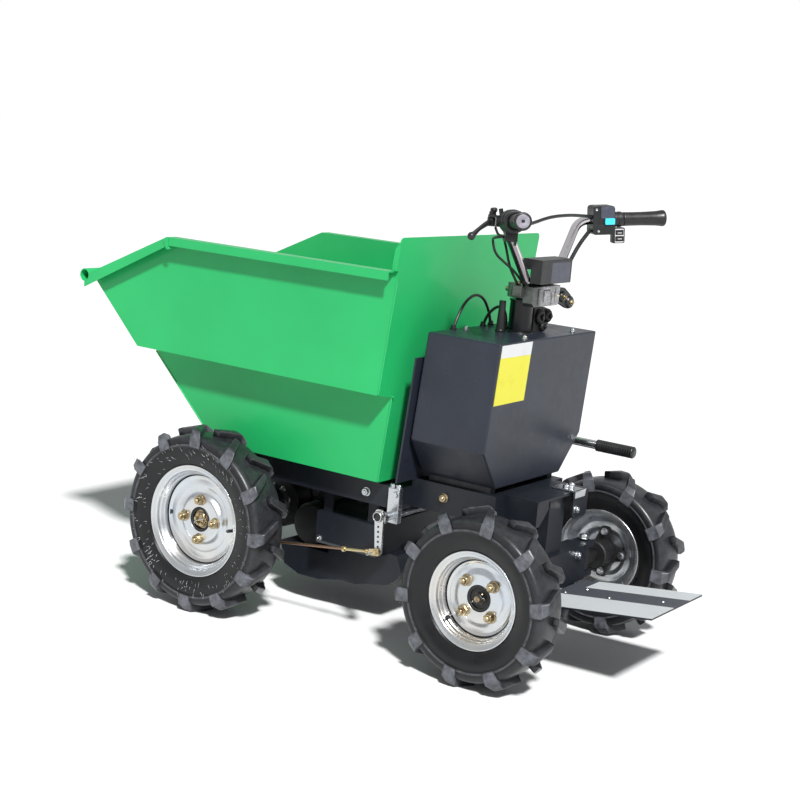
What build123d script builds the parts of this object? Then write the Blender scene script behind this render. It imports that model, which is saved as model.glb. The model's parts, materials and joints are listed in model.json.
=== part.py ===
from build123d import *
import os
from math import atan2, cos, pi, radians, sin, tan

# A small battery site dumper, walked behind or ridden on a rear footplate.
# Millimetres. While it is drawn, x = 0 is the rear axle, +X is forward, +Y is
# the machine's left and z = 0 is the ground. When it is written, everything
# moves back by MIDDLE, so that the origin is at the middle of its length.

# ---------------------------------------------------------------- main sizes
WHEELBASE = 780
FRONT_R = 232            # front tyre, over the lugs
REAR_R = 207             # rear tyre, over the lugs
FRONT_Z = 231.2          # axle heights: the lowest lug's edge is on the ground
REAR_Z = 207
FRONT_HALF_TRACK = 350   # wheel's middle plane from the centre line
REAR_HALF_TRACK = 300
PLATE_REAR = -346        # rear edge of the footplate
LIP = (1251.4, 778)      # x and z of the tube along the skip's front lip
LIP_TUBE_R = 16.5
MIDDLE = (LIP[0] + LIP_TUBE_R + PLATE_REAR) / 2

# Skip
SHEET = 3                # wall of the skip
RIM_Z = 908
RIM_FRONT_X = 974        # where the level rim turns down to the lip
UPPER_HALF = 303         # half width above and below the side step
LOWER_HALF = 243
STEP_Z = (615, 606)      # step in the side wall, at its outer and inner edge
FLOOR_Z = 396
FLOOR_FRONT_X = 853      # where the floor turns up into the front slope
REAR_LEAN = 0.0985       # forward run of the skip's back wall per mm down
BACK_X_AT_RIM = 291.6
GUARD_TOP = 985
GUARD_HALF = 312
GUARD_RETURN = 14        # the guard's edges are turned forward this far
GUARD_CORNER = 12
FLANGE = 30              # width of the rim's flat
FLANGE_LIP = 21          # depth of its turned-down lip
SLOPE_LIP = 28           # the same on the sloped front stretch

# Tipping hinge, at the frame's front end
HINGE = (880, 357)
HINGE_TUBE_R = 15

# Frame
RAIL = (330, 384)        # bottom and top of the side rails
RAIL_OUT = 205
RAIL_THICK = 45
CROSS_X = (300, 345)     # rear cross member, front to back
REAR_TOP = 405           # top of the rear frame and the spine rails
REAR_EDGE = -25          # its rear edge
REAR_HALF = 120
SPINE_OUT = 158
POST_HALF = 37           # square post down to the rear axle
BEAM_TOP = 258           # rear axle beam
BEAM_FOOT = 170

# Power, hung between the axles
BATTERY = (376, 556)
BATTERY_HALF = 185
BATTERY_Z = (190, 273)
TRAY_HALF = 120
TRAY_TOP = 150

# Control box
BOX_HALF = 228
BOX_TOP = 771
BOX_KNEE = 514           # the sides turn in below this height
BOX_FLOOR = 420
BOX_FLOOR_HALF = 150
BOX_REAR = ((50.5, 771), (67.5, 514), (73.7, 420))
BOX_FRONT = ((247.6, 771), (271, 514), (279.5, 420))
BOX_CORNER = 4

# Steering
COLUMN_X = 138
SHAFT_R = 16
SLEEVE_R = 28
SLEEVE_TOP = 850
GUSSET_TOP = 832
HEAD_Z = (841, 889)      # the alloy casting under the handlebar
KINGPIN_Y = 178
PITMAN = 50              # pitman arm, pointing back from the column
PITMAN_EYE_Y = 20        # its two eyes, either side of the middle
KNUCKLE_ARM = 70         # knuckle arm, pointing forward from the kingpin
ARM_Z = 195              # underside of both arms, over the tie rods
BAR_R = 11
BAR_END = (-40, 340, 1058)
BAR_KNEE = (104, 174, 1039)
BAR_FOOT = (94, 64, 900)
BORE_R = BAR_R + 0.4     # corner radius of a twelve-sided bore that clears it
LEVER_TIP = (77, 352, 1014)
COVER = (53, 106)        # cover over the handlebar's clamp
COVER_HALF = 72
COVER_Z = (898, 930, 955)    # foot, underside over the bar, top

# Parking brake
CROSS_SHAFT = (314, 317)
BRAKE_Y = 262            # inner face of the brake arm
LEVER_Y = -256
LEVER_Z = 482.5

# Footplate
PLATE_Z = 209.7          # its top at the rear edge
PLATE_SLOPE = -0.1252
PLATE_FRONT = -34
PLATE_HALF = 134.5
PLATE_THICK = 4

NODES = {}


# ---------------------------------------------------------------- helpers
def keep(name, shape):
    """Store a piece under its node's name."""
    NODES[name] = shape


def block(x0, x1, y0, y1, z0, z1):
    """A box between two corners, given in either order."""
    low = [min(a, b) for a, b in ((x0, x1), (y0, y1), (z0, z1))]
    size = [abs(a - b) for a, b in ((x0, x1), (y0, y1), (z0, z1))]
    return Pos(*[a + b / 2 for a, b in zip(low, size)]) * Box(*size)


def side_prism(points, y0, y1):
    """A side outline of (x, z) points, carried across from y0 to y1."""
    line = Polyline([(x, y0, z) for x, z in points], close=True)
    return extrude(make_face(line), amount=y1 - y0, dir=(0, 1, 0))


def end_prism(points, x0, x1):
    """An end outline of (y, z) points, carried along from x0 to x1."""
    line = Polyline([(x0, y, z) for y, z in points], close=True)
    return extrude(make_face(line), amount=x1 - x0, dir=(1, 0, 0))


def flat_prism(points, z0, z1):
    """A plan outline of (x, y) points, carried up from z0 to z1."""
    line = Polyline([(x, y, z0) for x, y in points], close=True)
    return extrude(make_face(line), amount=z1 - z0, dir=(0, 0, 1))


def rod(start, end, radius):
    """A round bar from one point to another."""
    a = Vector(*start)
    b = Vector(*end)
    return extrude(Plane(origin=a, z_dir=b - a) * Circle(radius), amount=(b - a).length)


def pipe(start, end, radius, bore):
    """A round tube from one point to another."""
    return rod(start, end, radius) - rod(start, end, bore)


def flat_rod(start, end, radius, sides=12):
    """A bar of flats from one point to another, for ends that needn't be round."""
    way = Vector(*end) - Vector(*start)
    up = (1, 0, 0) if abs(way.X) < 1e-6 else (0, 0, 1)
    return turned([(0, radius), (way.length, radius)], sides, start, tuple(way), up,
                  turn=180 / sides, closed=False)


def group(pieces):
    """Like pieces that don't touch, kept in one node."""
    return Compound(children=[solid for piece in pieces for solid in piece.solids()])


def mirrored(points):
    """An outline from its left half: the same points follow on the right."""
    return points + [(-a, b) for a, b in reversed(points)]


def skin(rings, closed=False, flat=True):
    """A flat-sided solid over rings of corners that follow one another."""
    pairs = list(zip(rings, rings[1:]))
    outlines = []
    if closed:
        pairs.append((rings[-1], rings[0]))
    else:
        outlines += [rings[0], rings[-1]]
    for a, b in pairs:
        for i in range(len(a)):
            j = (i + 1) % len(a)
            if flat:
                outlines.append([a[i], a[j], b[j], b[i]])
            else:
                outlines += [[a[i], a[j], b[j]], [a[i], b[j], b[i]]]
    return Solid(Shell([Face(Wire.make_polygon(outline)) for outline in outlines]))


def ring(plane, radius, sides, turn=0.0):
    """The corners of a regular polygon in a plane, turned by some degrees."""
    angles = [radians(turn) + 2 * pi * i / sides for i in range(sides)]
    return [plane.from_local_coords((radius * cos(a), radius * sin(a), 0)) for a in angles]


def turned(profile, sides, start=(0, 0, 0), way=(0, 1, 0), up=(0, 0, 1), turn=0.0, closed=True):
    """A profile of (distance along, radius) turned about a line in flats.

    A closed profile goes round a bore. An open one makes a solid bar.
    """
    axis = Vector(way).normalized()
    rings = []
    for along, radius in profile:
        plane = Plane(origin=Vector(start) + axis * along, x_dir=up, z_dir=axis)
        rings.append(ring(plane, radius, sides, turn))
    return skin(rings, closed)


def wide_radii(points):
    """The largest arc that each corner's two runs leave room for."""
    spots = [Vector(*point) for point in points]
    radii = []
    for a, b, c in zip(spots, spots[1:], spots[2:]):
        turn = radians((b - a).get_angle(c - b))
        radii.append(0.45 * min((b - a).length, (c - b).length) / tan(turn / 2))
    return radii


def cable(points, radius, ends=None, sides=5, bends=None):
    """A tube of flats along straight runs joined by tangent arcs.

    Each end can be cut square to a given direction, so that it meets its face.
    """
    path = FilletPolyline(*points, radius=bends or wide_radii(points))
    ends = ends or (tuple(path % 0), tuple(path % 1))
    spots = [(path @ 0, Vector(*ends[0]))]
    for edge in path.edges():
        # A straight run needs its far end alone. A thin cable's bend has two rings.
        shares = (1.0,) if edge.geom_type == GeomType.LINE or sides < 8 else (0.5, 1.0)
        spots += [(edge @ share, edge % share) for share in shares]
    spots[-1] = (path @ 1, Vector(*ends[1]))
    side = Plane(origin=spots[0][0], z_dir=spots[0][1]).x_dir
    rings = []
    for spot, way in spots:
        side = (side - way * side.dot(way)).normalized()
        rings.append(ring(Plane(origin=spot, x_dir=side, z_dir=way), radius, sides))
    return skin(rings, flat=False)


# ---------------------------------------------------------------- skip
def back_x(z):
    """x of the skip's leaning back wall at height z."""
    return BACK_X_AT_RIM + (RIM_Z - z) * REAR_LEAN


def front_x(z):
    """x of the skip's front slope at height z."""
    run = (LIP[0] - FLOOR_FRONT_X) / (LIP[1] - FLOOR_Z)
    return FLOOR_FRONT_X + (z - FLOOR_Z) * run


def skip_solid(inset, top):
    """The skip's form, drawn in by inset, with its top carried up."""
    half = [
        (LOWER_HALF - inset, FLOOR_Z + inset),
        (LOWER_HALF - inset, STEP_Z[1] + inset),
        (UPPER_HALF - inset, STEP_Z[0] + inset),
        (UPPER_HALF - inset, RIM_Z + top),
    ]
    across = end_prism(mirrored(half), 200, 1350)
    slope = atan2(LIP[1] - FLOOR_Z, LIP[0] - FLOOR_FRONT_X)
    front = inset / sin(slope)
    floor = FLOOR_Z + inset
    side = [
        (back_x(floor) + inset, floor),
        (front_x(floor) - front, floor),
        (LIP[0] - front, LIP[1]),
    ]
    if top:
        side += [(LIP[0] - front, RIM_Z + top), (back_x(RIM_Z + top) + inset, RIM_Z + top)]
    else:
        side += [(RIM_FRONT_X, RIM_Z), (back_x(RIM_Z), RIM_Z)]
    return across & side_prism(side, -400, 400)


def lip_cylinder(radius):
    """The lip tube's outside, to cut its neighbours with."""
    return rod((LIP[0], -400, LIP[1]), (LIP[0], 400, LIP[1]), radius)


def rim_band(depth_level, depth_slope):
    """The rim's edge line, made as deep as given on its two runs."""
    slope = atan2(RIM_Z - LIP[1], LIP[0] - RIM_FRONT_X)
    rear = back_x(RIM_Z) + 8
    return [
        (rear, RIM_Z), (RIM_FRONT_X, RIM_Z), LIP,
        (LIP[0], LIP[1] - depth_slope / cos(slope)),
        (RIM_FRONT_X - depth_level * tan(slope / 2), RIM_Z - depth_level),
        (rear, RIM_Z - depth_level),
    ]


def make_rim_flanges():
    flanges = []
    for hand in (1, -1):
        inner = UPPER_HALF * hand
        outer = (UPPER_HALF + FLANGE) * hand
        flat = side_prism(rim_band(SHEET, SHEET), inner, outer)
        lip = side_prism(rim_band(FLANGE_LIP, SLOPE_LIP), outer - SHEET * hand, outer)
        flanges.append((flat + lip) - lip_cylinder(LIP_TUBE_R))
    keep("rim_flanges", group(flanges))


def make_guard():
    """The raised back: a leaning sheet with both side edges turned forward."""
    foot, top = back_x(RIM_Z), back_x(GUARD_TOP)
    lean = [(foot, RIM_Z), (top, GUARD_TOP), (top + SHEET, GUARD_TOP), (foot + SHEET, RIM_Z)]
    sheet = side_prism(lean, -GUARD_HALF, GUARD_HALF)
    corners = sheet.edges().filter_by(Axis.Y, reverse=True).group_by(Axis.Z)[-1]
    sheet = fillet(corners, GUARD_CORNER)
    low = GUARD_TOP - GUARD_CORNER
    edge = [
        (foot, RIM_Z), (back_x(low), low), (back_x(low) + SHEET, low),
        (back_x(low) + GUARD_RETURN, low - GUARD_RETURN), (foot + GUARD_RETURN, RIM_Z),
    ]
    for s in (1, -1):
        sheet += side_prism(edge, GUARD_HALF * s, (GUARD_HALF - SHEET) * s)
    keep("skip_guard", sheet)


def make_ears():
    """Two ears under the floor take the tipping hinge."""
    x, z = HINGE
    outline = [
        (x - 70, FLOOR_Z), (x - 26, z - 8), (x + 20, z - 18), (x + 27, z + 4),
        (FLOOR_FRONT_X, FLOOR_Z),
    ]
    ears = []
    for y in (-150, 150):
        ear = side_prism(outline, y - 5, y + 5) + flat_rod((x, y - 5, z), (x, y + 5, z), 27, 16)
        bore = flat_rod((x, y - 9, z), (x, y + 9, z), HINGE_TUBE_R + 0.4, 16)
        ears.append(ear - bore - skip_solid(0, 0))
    keep("skip_hinge_ears", group(ears))


def make_skip():
    shell = skip_solid(0, 0) - skip_solid(SHEET, 60) - lip_cylinder(LIP_TUBE_R)
    keep("skip_shell", shell.solids()[0])
    make_rim_flanges()
    end = UPPER_HALF + FLANGE
    tube = [(-end, LIP_TUBE_R), (end, LIP_TUBE_R), (end, 13.5), (-end, 13.5)]
    keep("lip_tube", turned(tube, 16, (LIP[0], 0, LIP[1])))
    make_guard()
    make_ears()


# ---------------------------------------------------------------- frame
def make_rails():
    x, z = HINGE
    half_height = (RAIL[1] - RAIL[0]) / 2
    inner = RAIL_OUT - RAIL_THICK
    rails = []
    for s in (1, -1):
        bar = block(CROSS_X[1], x, inner * s, RAIL_OUT * s, *RAIL)
        nose = flat_rod((x, inner * s, z), (x, RAIL_OUT * s, z), half_height / cos(pi / 16), 16)
        hole = flat_rod((x, (inner - 1) * s, z), (x, (RAIL_OUT + 1) * s, z), HINGE_TUBE_R, 16)
        rails.append(bar + nose - hole)
    keep("side_rails", group(rails))
    tube = [(-RAIL_OUT, HINGE_TUBE_R), (RAIL_OUT, HINGE_TUBE_R), (RAIL_OUT, 11), (-RAIL_OUT, 11)]
    keep("hinge_tube", turned(tube, 16, (x, 0, z), up=(1, 0, 0), turn=11.25))
    shelf = block(COLUMN_X - 36, COLUMN_X + 36, -REAR_HALF, REAR_HALF, 388, 399)
    keep("cross_members", group([
        block(*CROSS_X, -RAIL_OUT, RAIL_OUT, *RAIL),
        block(610, 650, -inner, inner, RAIL[0] + 4, RAIL[1] - 4),
        shelf - flat_rod((COLUMN_X, 0, 300), (COLUMN_X, 0, 900), SLEEVE_R, 16),
    ]))
    keep("spine_rails", group([
        block(65, CROSS_X[0], REAR_HALF * s, SPINE_OUT * s, 335, REAR_TOP) for s in (1, -1)
    ]))


def make_rear_frame():
    """A folded cover over the rear axle, open below, on a square post."""
    frame = block(REAR_EDGE, 100, -REAR_HALF, REAR_HALF, REAR_TOP - 6, REAR_TOP)
    for s in (1, -1):
        frame += block(REAR_EDGE, 100, (REAR_HALF - 6) * s, REAR_HALF * s, 344, REAR_TOP - 6)
        flange = [(REAR_HALF, 399), (REAR_HALF, 344), (104, 344), (66, 380), (66, 399)]
        frame += end_prism([(y * s, z) for y, z in flange], REAR_EDGE, REAR_EDGE + 6)
    keep("rear_frame", frame)
    keep("rear_post", block(-12, 40, -POST_HALF, POST_HALF, BEAM_TOP, REAR_TOP - 6))

    # A latch: a plate on the rear edge, held by a strap turned down over it.
    plate = block(REAR_EDGE - 6, REAR_EDGE, -116, -44, 338, REAR_TOP)
    plate = chamfer(plate.edges().filter_by(Axis.X).group_by(Axis.Z)[0], 12)
    strap = block(-37, 30, -88, -38, REAR_TOP, REAR_TOP + 4)
    strap += block(-37, REAR_EDGE - 6, -88, -38, REAR_TOP - 14, REAR_TOP)
    keep("rear_latch", plate + strap)


def make_frame():
    make_rails()
    make_rear_frame()
    low_x = 262 + (708 - REAR_TOP) * 0.085
    panel = [(262, 708), (low_x, REAR_TOP), (low_x + 5, REAR_TOP), (267, 708)]
    keep("bulkhead", side_prism(panel, -LOWER_HALF, LOWER_HALF))
    pads = [block(385, 425, y - 18, y + 18, RAIL[1], FLOOR_Z - 0.3) for y in (-182, 182)]
    keep("skip_rests", group(pads))


def make_power():
    """Battery box, belly tray and drive motor, hung between the axles."""
    battery = block(*BATTERY, -BATTERY_HALF, BATTERY_HALF, *BATTERY_Z)
    battery_box = chamfer(battery.edges().filter_by(Axis.X).group_by(Axis.Z)[0], 9)
    for x in (385, 520):
        for y in (-170, 170):
            battery_box += block(x, x + 25, y - 4, y + 4, BATTERY_Z[1], RAIL[0])
    keep("battery_box", battery_box)
    tray = [
        (335, TRAY_TOP), (352, 124), (372, 111), (470, 90), (517, 89), (586, 75), (650, 74),
        (698, 92), (715, TRAY_TOP), (560, TRAY_TOP), (560, BATTERY_Z[0]), (352, BATTERY_Z[0]),
    ]
    keep("belly_tray", side_prism(tray, -TRAY_HALF, TRAY_HALF))
    motor = turned([(0, 50), (12, 56), (210, 56), (222, 50)], 16, (634, -111, 206), closed=False, turn=11.25)
    keep("drive_motor", motor + block(620, 648, -60, 60, 250, RAIL[0] + 4))


def make_box():
    half = [(BOX_FLOOR_HALF, BOX_FLOOR), (BOX_HALF, BOX_KNEE), (BOX_HALF, BOX_TOP)]
    across = end_prism(mirrored(half), 0, 350)
    body = across & side_prism(list(BOX_REAR) + list(reversed(BOX_FRONT)), -300, 300)
    upright = body.edges().filter_by(lambda e: e.center().Z > BOX_KNEE + 20 and e.length > 200 and
                                     abs(e.tangent_at(0.5).Z) > 0.9)
    top = body.edges().group_by(Axis.Z)[-1]
    body = chamfer(upright + top, BOX_CORNER)
    keep("control_box", body - flat_rod((COLUMN_X, 0, 300), (COLUMN_X, 0, 900), SLEEVE_R, 16))
    keep("box_feet", group([
        block(90, 262, 124 * s, 146 * s, REAR_TOP, BOX_FLOOR) for s in (1, -1)
    ]))


# ---------------------------------------------------------------- wheels
# One row a size. Radii are from the axle and y from the wheel's middle plane.
WHEELS = {
    # over the lugs, bead r, rim flange y, tyre half width, shoulder ridge r,
    # disc edge r, disc edge y, hub face y, lugs a side
    "front": (FRONT_R, 127, 42, 55, 190, 110.5, 11, 16, 12),
    "rear": (REAR_R, 101.6, 35, 52, 163, 88, 4, 5, 10),
}
LUG_DEPTH = 20
LUG_SWEEP = 9            # degrees that a lug's outer end lags its inner end
# name, size, x, y, z, angle of a left-hand lug from the top
SPOTS = (
    ("front_left", "front", WHEELBASE, FRONT_HALF_TRACK, FRONT_Z, 8.2),
    ("front_right", "front", WHEELBASE, -FRONT_HALF_TRACK, FRONT_Z, 23.2),
    ("rear_left", "rear", 0, REAR_HALF_TRACK, REAR_Z, -1.5),
    ("rear_right", "rear", 0, -REAR_HALF_TRACK, REAR_Z, 21),
)


def first_corner(size):
    """Angle of a flat's corner, so that each lug stands on one flat."""
    pitch = 180 / WHEELS[size][8]
    return (pitch - LUG_SWEEP) / 2


def lug(size, hand, angle):
    """One bar of the chevron, over three sections joined by flats."""
    outer, bead, flange_y, half, ridge = WHEELS[size][:5]
    crown = outer - LUG_DEPTH
    # y, foot radius, top radius, half width, share of the sweep
    sections = (
        (-5, crown - 6, outer, 8.5, 0.0),
        (half - 10, crown - 14, outer - 4, 11.5, 0.8),
        (half + 2, ridge - 4, outer - 22, 12.5, 1.0),
    )
    rings = []
    for y, low, high, wide, share in sections:
        middle = radians(angle - LUG_SWEEP * share)
        spread = wide / high
        corners = ((low, -1.2), (low, 1.2), (high, 1.0), (high, -1.0))
        rings.append([
            (r * sin(middle + side * spread), y * hand, r * cos(middle + side * spread))
            for r, side in corners
        ])
    return skin(rings, flat=False)


def tyre(size):
    """A solid carcass with two rows of lugs that meet in a chevron."""
    outer, bead, flange_y, half, ridge = WHEELS[size][:5]
    lugs_a_side = WHEELS[size][8]
    left = [
        (flange_y - 7.5, bead), (flange_y - 1.6, bead + 12.5), (half, ridge + 1),
        (half - 14, outer - LUG_DEPTH),
    ]
    carcass = turned(mirrored(left), 2 * lugs_a_side, turn=first_corner(size))
    lugs = [
        lug(size, hand, (i + offset) * 360 / lugs_a_side)
        for hand, offset in ((1, 0), (-1, 0.5)) for i in range(lugs_a_side)
    ]
    return carcass.fuse(*lugs)


def rim(size):
    """A pressed rim: flanges, bead seats, barrel and dished disc in one sheet."""
    outer, bead, flange_y, half, ridge, disc, disc_y, hub_y, lugs_a_side = WHEELS[size]
    barrel = [
        (flange_y - 1, bead + 12.4), (flange_y - 7, bead), (disc_y, disc + 3),
        (7 - flange_y, bead), (1 - flange_y, bead + 12.4), (-flange_y - 2, bead + 10.6),
        (4 - flange_y, bead - 3),
    ]
    dish = [
        (disc_y - 9, disc - 8), (disc_y - 9, 62), (hub_y - 4, 31),
        (hub_y, 31), (hub_y, 57), (disc_y - 5, 64), (disc_y - 5, disc - 7), (disc_y, disc),
    ]
    front = [(flange_y - 4, bead - 3), (flange_y + 2, bead + 10.6)]
    profile = barrel + dish + front
    return turned(profile, 2 * lugs_a_side, turn=first_corner(size))


def front_hub():
    """A brake drum, a flange on the disc's back and a hollow nose."""
    profile = [
        (-46, 74), (-46, 16.8), (8, 16.8), (8, 24), (16, 24), (16, 29.9), (12, 29.9),
        (12, 53), (1.9, 53), (1.9, 80), (-40, 80),
    ]
    bore = rod((0, -60, 0), (0, 30, 0), SHAFT_R + 0.05)
    inner = turned([(-46, 20), (8, 20)], 14, closed=False)
    return turned(profile, 14) + (inner - bore)


def rear_hub(angle):
    """A cast boss with a four-armed plate on the disc's back."""
    profile = [(-60, 34), (-60, 14), (-3, 14), (-3, 24), (5, 24), (5, 29.9), (1, 29.9), (1, 34)]
    arms = []
    for k in range(4):
        for turn, radius in ((-11, 66), (11, 66), (45, 40)):
            a = radians(angle + 90 * k + turn)
            arms.append((radius * sin(a), radius * cos(a)))
    star = side_prism(arms, -8, 1) - turned([(-10, 31), (3, 31)], 12, closed=False)
    bore = rod((0, -70, 0), (0, 20, 0), 12.55)
    inner = turned([(-60, 18), (-3, 18)], 12, closed=False)
    return turned(profile, 12) + star + (inner - bore)


def make_wheels():
    rubber = {size: tyre(size) for size in WHEELS}
    steel = {size: rim(size) for size in WHEELS}
    for name, size, x, y, z, phase in SPOTS:
        place = Pos(x, y, z)
        keep(name + "_tyre", place * Rot(0, phase, 0) * rubber[size])
        metal = Rot(0, phase, 0) * steel[size]
        hub = front_hub() if size == "front" else rear_hub(45 if y > 0 else 0)
        if y < 0:
            # Handed the other way, on the same flats as its tyre.
            metal = Rot(0, phase, 0) * (Rot(0, 2 * first_corner(size), 0) * mirror(steel[size], Plane.XZ))
            hub = mirror(hub, Plane.XZ)
        keep(name + "_rim", place * metal)
        keep(name + "_hub", place * hub)


# ---------------------------------------------------------------- axles
def make_front_axle():
    reach = FRONT_HALF_TRACK - 52
    profile = [(-reach, 27), (-70, 34), (-62, 70), (62, 70), (70, 34), (reach, 27)]
    axle = turned(profile, 12, (WHEELBASE, 0, FRONT_Z), closed=False, turn=15)
    for s in (1, -1):
        end = FRONT_HALF_TRACK + 14
        axle += flat_rod((WHEELBASE, (reach - 4) * s, FRONT_Z), (WHEELBASE, end * s, FRONT_Z), SHAFT_R, 16)
        axle += block(WHEELBASE - 30, WHEELBASE + 30, 170 * s, 194 * s, FRONT_Z, RAIL[0])
    keep("front_axle", axle)
    plate = Pos(WHEELBASE, FRONT_HALF_TRACK, FRONT_Z) * turned(
        [(-47, 80), (-49.5, 80), (-52, 32), (-52, 17), (-47, 17)], 14)
    keep("brake_plates", group([plate, mirror(plate, Plane.XZ)]))


def make_rear_axle():
    """A square beam with a forked end at each kingpin."""
    yoke = KINGPIN_Y
    axle = block(-28, 28, -yoke + 30, yoke - 30, BEAM_FOOT, BEAM_TOP)
    for s in (1, -1):
        jaw = block(-22, 22, (yoke - 30) * s, (yoke + 18) * s, BEAM_FOOT, BEAM_TOP)
        mouth = block(-40, 40, (yoke - 22) * s, (yoke + 30) * s, BEAM_FOOT + 14, BEAM_TOP - 14)
        axle += jaw - mouth
        axle += flat_rod((0, yoke * s, BEAM_FOOT - 4), (0, yoke * s, BEAM_TOP + 4), 9)
    keep("rear_axle", axle)


def make_knuckles():
    for name, s in (("knuckle_left", 1), ("knuckle_right", -1)):
        y = KINGPIN_Y * s
        boss = flat_rod((0, y, 185), (0, y, 243), 18)
        bore = rod((0, y, 160), (0, y, 270), 9.05)
        stub = flat_rod((0, y, REAR_Z), (0, (REAR_HALF_TRACK + 12) * s, REAR_Z), 12.5, 16)
        neck = flat_rod((0, y, REAR_Z), (0, (KINGPIN_Y + 50) * s, REAR_Z), 17)
        arm = block(0, KNUCKLE_ARM, y - 9, y + 9, ARM_Z, ARM_Z + 10)
        eye = turned([(0, 14), (10, 14)], 12, (KNUCKLE_ARM, y, ARM_Z), (0, 0, 1), (1, 0, 0), closed=False)
        keep(name, boss + stub + neck + arm + eye - bore)


def make_axles():
    make_front_axle()
    make_rear_axle()
    make_knuckles()


# ---------------------------------------------------------------- steering
def along_bar(distance, hand=1):
    """A point on the handlebar's grip stretch, measured in from its end."""
    end = Vector(*BAR_END)
    way = (Vector(*BAR_KNEE) - end).normalized()
    point = end + way * distance
    return Vector(point.X, point.Y * hand, point.Z)


def bar_plane(distance, hand):
    """A plane across the grip stretch: x up, z towards the middle."""
    way = along_bar(1, hand) - along_bar(0, hand)
    return Plane(origin=along_bar(distance, hand), x_dir=(0, 0, 1), z_dir=way)


def on_bar(profile, hand, sides=12):
    """A profile turned about one side of the handlebar's grip stretch."""
    plane = bar_plane(0, hand)
    return turned(profile, sides, plane.origin, plane.z_dir, turn=180 / sides)


def bar_block(start, length, low, high, deep, hand, corner=0):
    """A housing along the grip stretch, between two heights from its middle."""
    section = Rectangle(high - low, deep)
    if corner:
        section = chamfer(section.vertices(), corner)
    section = Pos((low + high) / 2, 0) * section
    if low < 0 < high:
        section -= RegularPolygon(BORE_R, 12)
    return extrude(bar_plane(start, hand) * section, amount=length)


def make_column():
    x = COLUMN_X
    sleeve = flat_rod((x, 0, 390), (x, 0, SLEEVE_TOP), SLEEVE_R, 16)
    sleeve -= rod((x, 0, 380), (x, 0, SLEEVE_TOP + 5), SHAFT_R + 0.05)
    web = [(-66, BOX_TOP), (30, BOX_TOP), (34, GUSSET_TOP), (-98, GUSSET_TOP), (-98, GUSSET_TOP - 22)]
    gusset = end_prism(web, x - 46, x - 40)
    gusset += block(x - 40, x - 26, -8, 8, BOX_TOP, GUSSET_TOP)
    bore = rod((x, 0, 700), (x, 0, 900), SHAFT_R + 0.05)
    keep("column_sleeve", sleeve + (gusset - bore))
    # The shaft carries the pitman arm at its foot.
    shaft = flat_rod((x, 0, ARM_Z - 6), (x, 0, HEAD_Z[1] - 6), SHAFT_R, 16)
    foot = flat_rod((x, 0, ARM_Z - 6), (x, 0, ARM_Z + 24), 25)
    arm_x = x - PITMAN
    half = [(x, 22), (arm_x, 32), (arm_x - 12, 24)]
    arm = flat_prism(half + [(a, -b) for a, b in reversed(half)], ARM_Z, ARM_Z + 10)
    keep("steering_shaft", shaft + foot + arm)
    for name, s in (("tie_rod_left", 1), ("tie_rod_right", -1)):
        a = (arm_x, PITMAN_EYE_Y * s, ARM_Z - 7)
        b = (KNUCKLE_ARM, KINGPIN_Y * s, ARM_Z - 7)
        way = Vector(*b) - Vector(*a)
        bar = turned([(0, 5), (way.length, 5)], 8, a, tuple(way), closed=False)
        for spot in (a, b):
            foot = (spot[0], spot[1], ARM_Z - 13.5)
            bar += turned([(0, 10), (13, 10)], 12, foot, (0, 0, 1), (1, 0, 0), closed=False)
        keep(name, bar)


def make_head():
    """The casting that clamps the shaft, and the black bracket on its right."""
    x = COLUMN_X
    low, high = HEAD_Z
    clamp = block(x - 38, x + 30, -32, 32, SLEEVE_TOP + 5, high)
    clamp = chamfer(clamp.edges().filter_by(Axis.Z).group_by(Axis.X)[-1], 8)
    wing = block(76, 104, -68, 60, low, high)
    wing = chamfer(wing.edges().filter_by(Axis.X).group_by(Axis.Z)[0], 6)
    ear = block(100, 130, 30, 76, 863, high)
    ear = chamfer(ear.edges().filter_by(Axis.Z).group_by(Axis.Y)[-1], 6)
    keep("steering_head", clamp + wing + ear - rod((x, 0, 700), (x, 0, high - 6), SHAFT_R))
    plate = [(-68, 880), (-92, 882), (-128, 862), (-138, 836), (-118, 828), (-68, 846)]
    bracket = end_prism(plate, 78, 86)
    for y, z, r in ((-84, 860, 14), (-122, 845, 16)):
        bracket += turned([(0, r), (14, r - 2)], 12, (86, y, z), (-1, 0, 0), closed=False)
    keep("side_bracket", bracket)


def make_handlebar():
    half = [BAR_END, BAR_KNEE, BAR_FOOT]
    route = half + [(a, -b, c) for a, b, c in reversed(half)]
    keep("handlebar", cable(route, BAR_R, sides=12, bends=[50, 24, 24, 50]))
    rear, front = COVER
    foot, shelf, top = COVER_Z
    plan = block(rear, front, -COVER_HALF, COVER_HALF, foot, top)
    plan = chamfer(plan.edges().filter_by(Axis.Z), 5)
    step = BAR_FOOT[0] - BAR_R - 1
    side = [(rear - 1, foot), (step, foot), (step, shelf), (front + 1, shelf), (front + 1, top), (rear - 1, top)]
    keep("handlebar_cover", plan & side_prism(side, -200, 200))
    grip = [(-3, BORE_R), (-3, 19), (4, 20), (30, 17.5), (104, 17), (107, BORE_R)]
    keep("grips", group([on_bar(grip, s) for s in (1, -1)]))


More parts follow.
